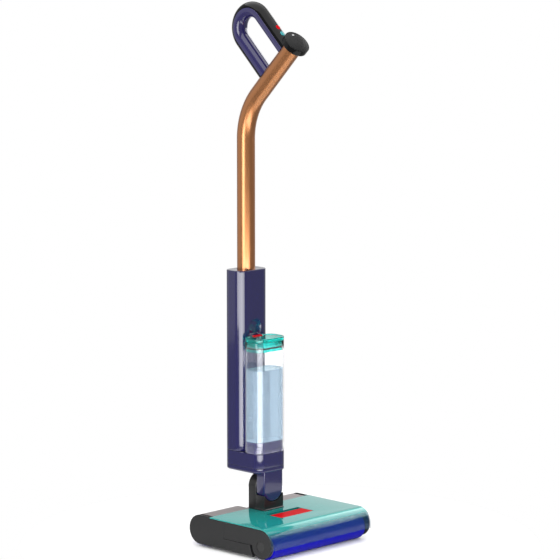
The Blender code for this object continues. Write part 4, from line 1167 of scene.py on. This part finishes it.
@dataclass
class Display:
    """The round display on the pole's end."""

    pole: Pole
    window: float = 0.0268
    groove: float = 0.0175
    lamp_back: float = 0.0185

    def turned(self, profile: Array, steps: int = 128) -> Surface:
        """Turn (radius, height along the lean) about the pole's leaning axis."""
        angle = np.linspace(0, FULL_TURN, steps, endpoint=False)
        radius, height = np.maximum(profile[:, :1], 1e-6), profile[:, 1:]
        return Surface().grid(self.pole.local(height, radius * np.sin(angle), radius * np.cos(angle)))

    def build(self) -> None:
        """The drum with its plug, and the domed window with a fine recessed ring round its middle."""
        drum = fillet([(0.0, 0.186, 0), (0.0172, 0.186, 0.001), (0.0172, 0.2003, 0.0004), (0.027, 0.2003, 0.0012),
                       (0.029, 0.2026, 0.0012), (0.029, 0.2145, 0.0009), (0.0276, 0.2145, 0.0004),
                       (0.0276, 0.2108, 0.0003), (0.0, 0.2108, 0)])
        self.turned(drum).piece("gloss_display_drum", Palette.gloss_black, "upright", "black_gloss",
                                ("display_housing",))
        radius = np.linspace(0, self.window, 60)
        dome = 0.2169 - 0.0025 * (radius / 0.0273) ** 2.2
        dome -= 0.00022 * np.exp(-((radius - self.groove) / 0.0004) ** 2)
        rim = np.array([[0.0272, 0.2142], [0.0273, 0.2138], [0.0273, 0.2111], [0.0, 0.2111]])
        self.turned(np.concatenate([np.column_stack([radius, dome]), rim])).piece(
            "satin_display_window", Palette.window, "upright", "display_glass", ("display_lens",),
            math.radians(45))
        self.glyph()

    def glyph(self) -> None:
        """A plain pale lozenge near the window's rear edge, a generic status lamp."""
        side, back = squircle(0.0034, 0.0016, 0.7, 32)
        heights = np.array([[0.2150], [0.21605]])
        Surface().grid(self.pole.local(heights, self.lamp_back + back[None, :], side[None, :])).piece(
            "status_lamp", Palette.lamp, "upright", "display_glass")


# ---------------------------------------------------------------- carried pieces and studio

CARRIED = {
    "front_roller_tube": Palette.grey, "rear_roller_tube": Palette.grey, "front_roller_bearing": Palette.steel,
    "rear_roller_bearing": Palette.steel, "front_motor_pulley": Palette.steel,
    "rear_motor_pulley": Palette.steel, "front_drive_hub": Palette.black, "rear_drive_hub": Palette.black,
    "front_brush_bar": Palette.black, "rear_brush_bar": Palette.black, "front_brush_pulley": Palette.black,
    "rear_brush_pulley": Palette.black, "front_drive_belt": Palette.rubber, "rear_drive_belt": Palette.rubber,
    "front_wiper": Palette.rubber, "rear_wiper_left": Palette.rubber, "rear_wiper_right": Palette.rubber,
    "front_water_bar": Palette.grey, "yoke_pivot_pin": Palette.steel, "roll_pin": Palette.steel,
    "battery_pack": Palette.cells, "control_board": Palette.board, "water_pump": Palette.black,
    "tank_socket": Palette.rubber, "pump_hose": Palette.rubber, "pole_collar": Palette.black,
    "display_board": Palette.board, "tank_spigot": Palette.grey, "tank_lid_seal": Palette.rubber,
}


def carry_over() -> None:
    """Dress the model's own nodes that keep their shape."""
    for node, finish in CARRIED.items():
        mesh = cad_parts[node].data
        mesh.materials.clear()
        mesh.materials.append(PALETTE.of(finish))


@dataclass
class Studio:
    """The pale floor, the soft lights and the camera."""

    reach: float = 0.55
    surround: float = 0.36
    lens: float = 176.2
    sensor: float = 36.0
    bearing: float = math.radians(45.5)
    distance: float = 5.69
    height: float = 1.391
    tilt: float = math.radians(8.2817)

    def floor(self) -> None:
        """A round pale floor just under the machine."""
        turn = np.linspace(0, FULL_TURN, 96, endpoint=False)
        rim = np.stack([self.reach * np.cos(turn), HEAD_Y + self.reach * np.sin(turn), 0 * turn - 0.0004], axis=1)
        mesh = bpy.data.meshes.new("studio_floor")
        mesh.from_pydata(rim.tolist(), [], [list(range(len(rim)))])
        mesh.materials.append(PALETTE.of(Palette.floor))
        stand("studio_floor", mesh)

    def sky(self) -> None:
        """A white backdrop for the eye and through clear parts, dimmer as light and in reflections."""
        world = bpy.data.worlds.new("white_surround")
        world.use_nodes = True
        graph = Graph(world.node_tree)
        white = {"Color": (1.0, 1.0, 1.0, 1.0)}
        dim = graph.feed(world.node_tree.nodes["Background"], {**white, "Strength": self.surround})
        path = graph.add("LightPath").outputs
        seen = graph.add("Math", {0: path["Is Camera Ray"], 1: path["Is Transmission Ray"]}, operation="MAXIMUM")
        graph.close("World Output", seen.outputs["Value"], dim, graph.add("Background", white))
        bpy.context.scene.world = world

    def panel(self, name: str, bearing: float, distance: float, height: float, size: tuple[float, float],
              radiance: float, drop: float = 0.0, spread: float = 180.0) -> None:
        """Hang a soft light at a bearing round the machine, facing it.

        Args:
            name: The light's name.
            bearing: Degrees round from +X towards +Y.
            distance: Metres from the middle.
            height: Height of its middle.
            size: Width and height.
            radiance: Brightness of its face; the power is this times pi times the face's area.
            drop: How far below its own height it aims.
            spread: The full angle that its light keeps to, in degrees.
        """
        data = bpy.data.lights.new(name, "AREA")
        data.shape = "RECTANGLE"
        data.size, data.size_y = size
        data.energy = radiance * math.pi * size[0] * size[1]
        data.spread = math.radians(spread)
        made = stand(name, data)
        turn = math.radians(bearing)
        made.location = (distance * math.cos(turn), HEAD_Y + distance * math.sin(turn), height)
        aim = Vector((0.0, HEAD_Y, height - drop)) - made.location
        made.rotation_euler = aim.to_track_quat("-Z", "Y").to_euler()
        made.visible_camera = False

    def lights(self) -> None:
        """A low wide panel for the glossy body, a tall one for the pole, fills at left, back, right and above."""
        self.panel("low_front_panel", 233.0, 0.75, 0.25, (1.15, 0.47), 2.9, 0.0, 110.0)
        self.panel("tall_left_panel", 190.0, 1.9, 1.05, (0.9, 1.8), 2.3, 0.0, 120.0)
        self.panel("left_fill_panel", 128.0, 2.3, 0.95, (2.2, 1.8), 0.4)
        self.panel("back_panel", 45.0, 2.0, 0.8, (2.6, 1.6), 0.42)
        self.panel("right_panel", -8.0, 1.8, 1.47, (2.6, 1.1), 2.8, 1.3)
        self.panel("overhead_panel", 110.0, 0.4, 2.9, (3.8, 3.8), 1.7, 2.85)

    def spare(self, light: str, *pieces: str) -> None:
        """Keep a light off flat pieces that would mirror it as glare when seen from the far side.

        Args:
            light: The light's name.
            pieces: The pieces that it leaves out.
        """
        group = bpy.data.collections.new(f"{light}_spares")
        for name in pieces:
            group.objects.link(bpy.data.objects[name])
        bpy.data.objects[light].light_linking.receiver_collection = group
        for entry in group.collection_objects:
            entry.light_linking.link_state = "EXCLUDE"

    def camera(self) -> None:
        """A long lens from the front left, a little above the display."""
        data = bpy.data.cameras.new("long_lens")
        data.lens = self.lens
        data.sensor_width = self.sensor
        made = stand("camera", data)
        sin, cos = math.sin(self.bearing), math.cos(self.bearing)
        made.location = (-self.distance * sin, HEAD_Y - self.distance * cos, self.height)
        made.rotation_euler = (math.pi / 2 - self.tilt, 0.0, -self.bearing)
        bpy.context.scene.camera = made

    def build(self) -> None:
        """Set the studio up."""
        bpy.context.scene.view_settings.view_transform = "Standard"
        self.floor()
        self.sky()
        self.lights()
        self.camera()


def main() -> None:
    logging.basicConfig(level=logging.INFO)
    head = Head()
    upright = Upright()
    pole = Pole()
    studio = Studio()
    studio.build()
    head.build()
    RollerCassette("front", head.front_axis, -1, head).build()
    RollerCassette("rear", head.rear_axis, 1, head, seed=11).build()
    Yoke().build()
    upright.build()
    CleanTank(upright).build()
    pole.tube()
    LoopHandle(pole).build()
    Display(pole).build()
    carry_over()
    for light in ("low_front_panel", "tall_left_panel"):
        studio.spare(light, "teal_cover", "grey_deck_strip", "red_tray_release")


if __name__ == "__main__":
    main()
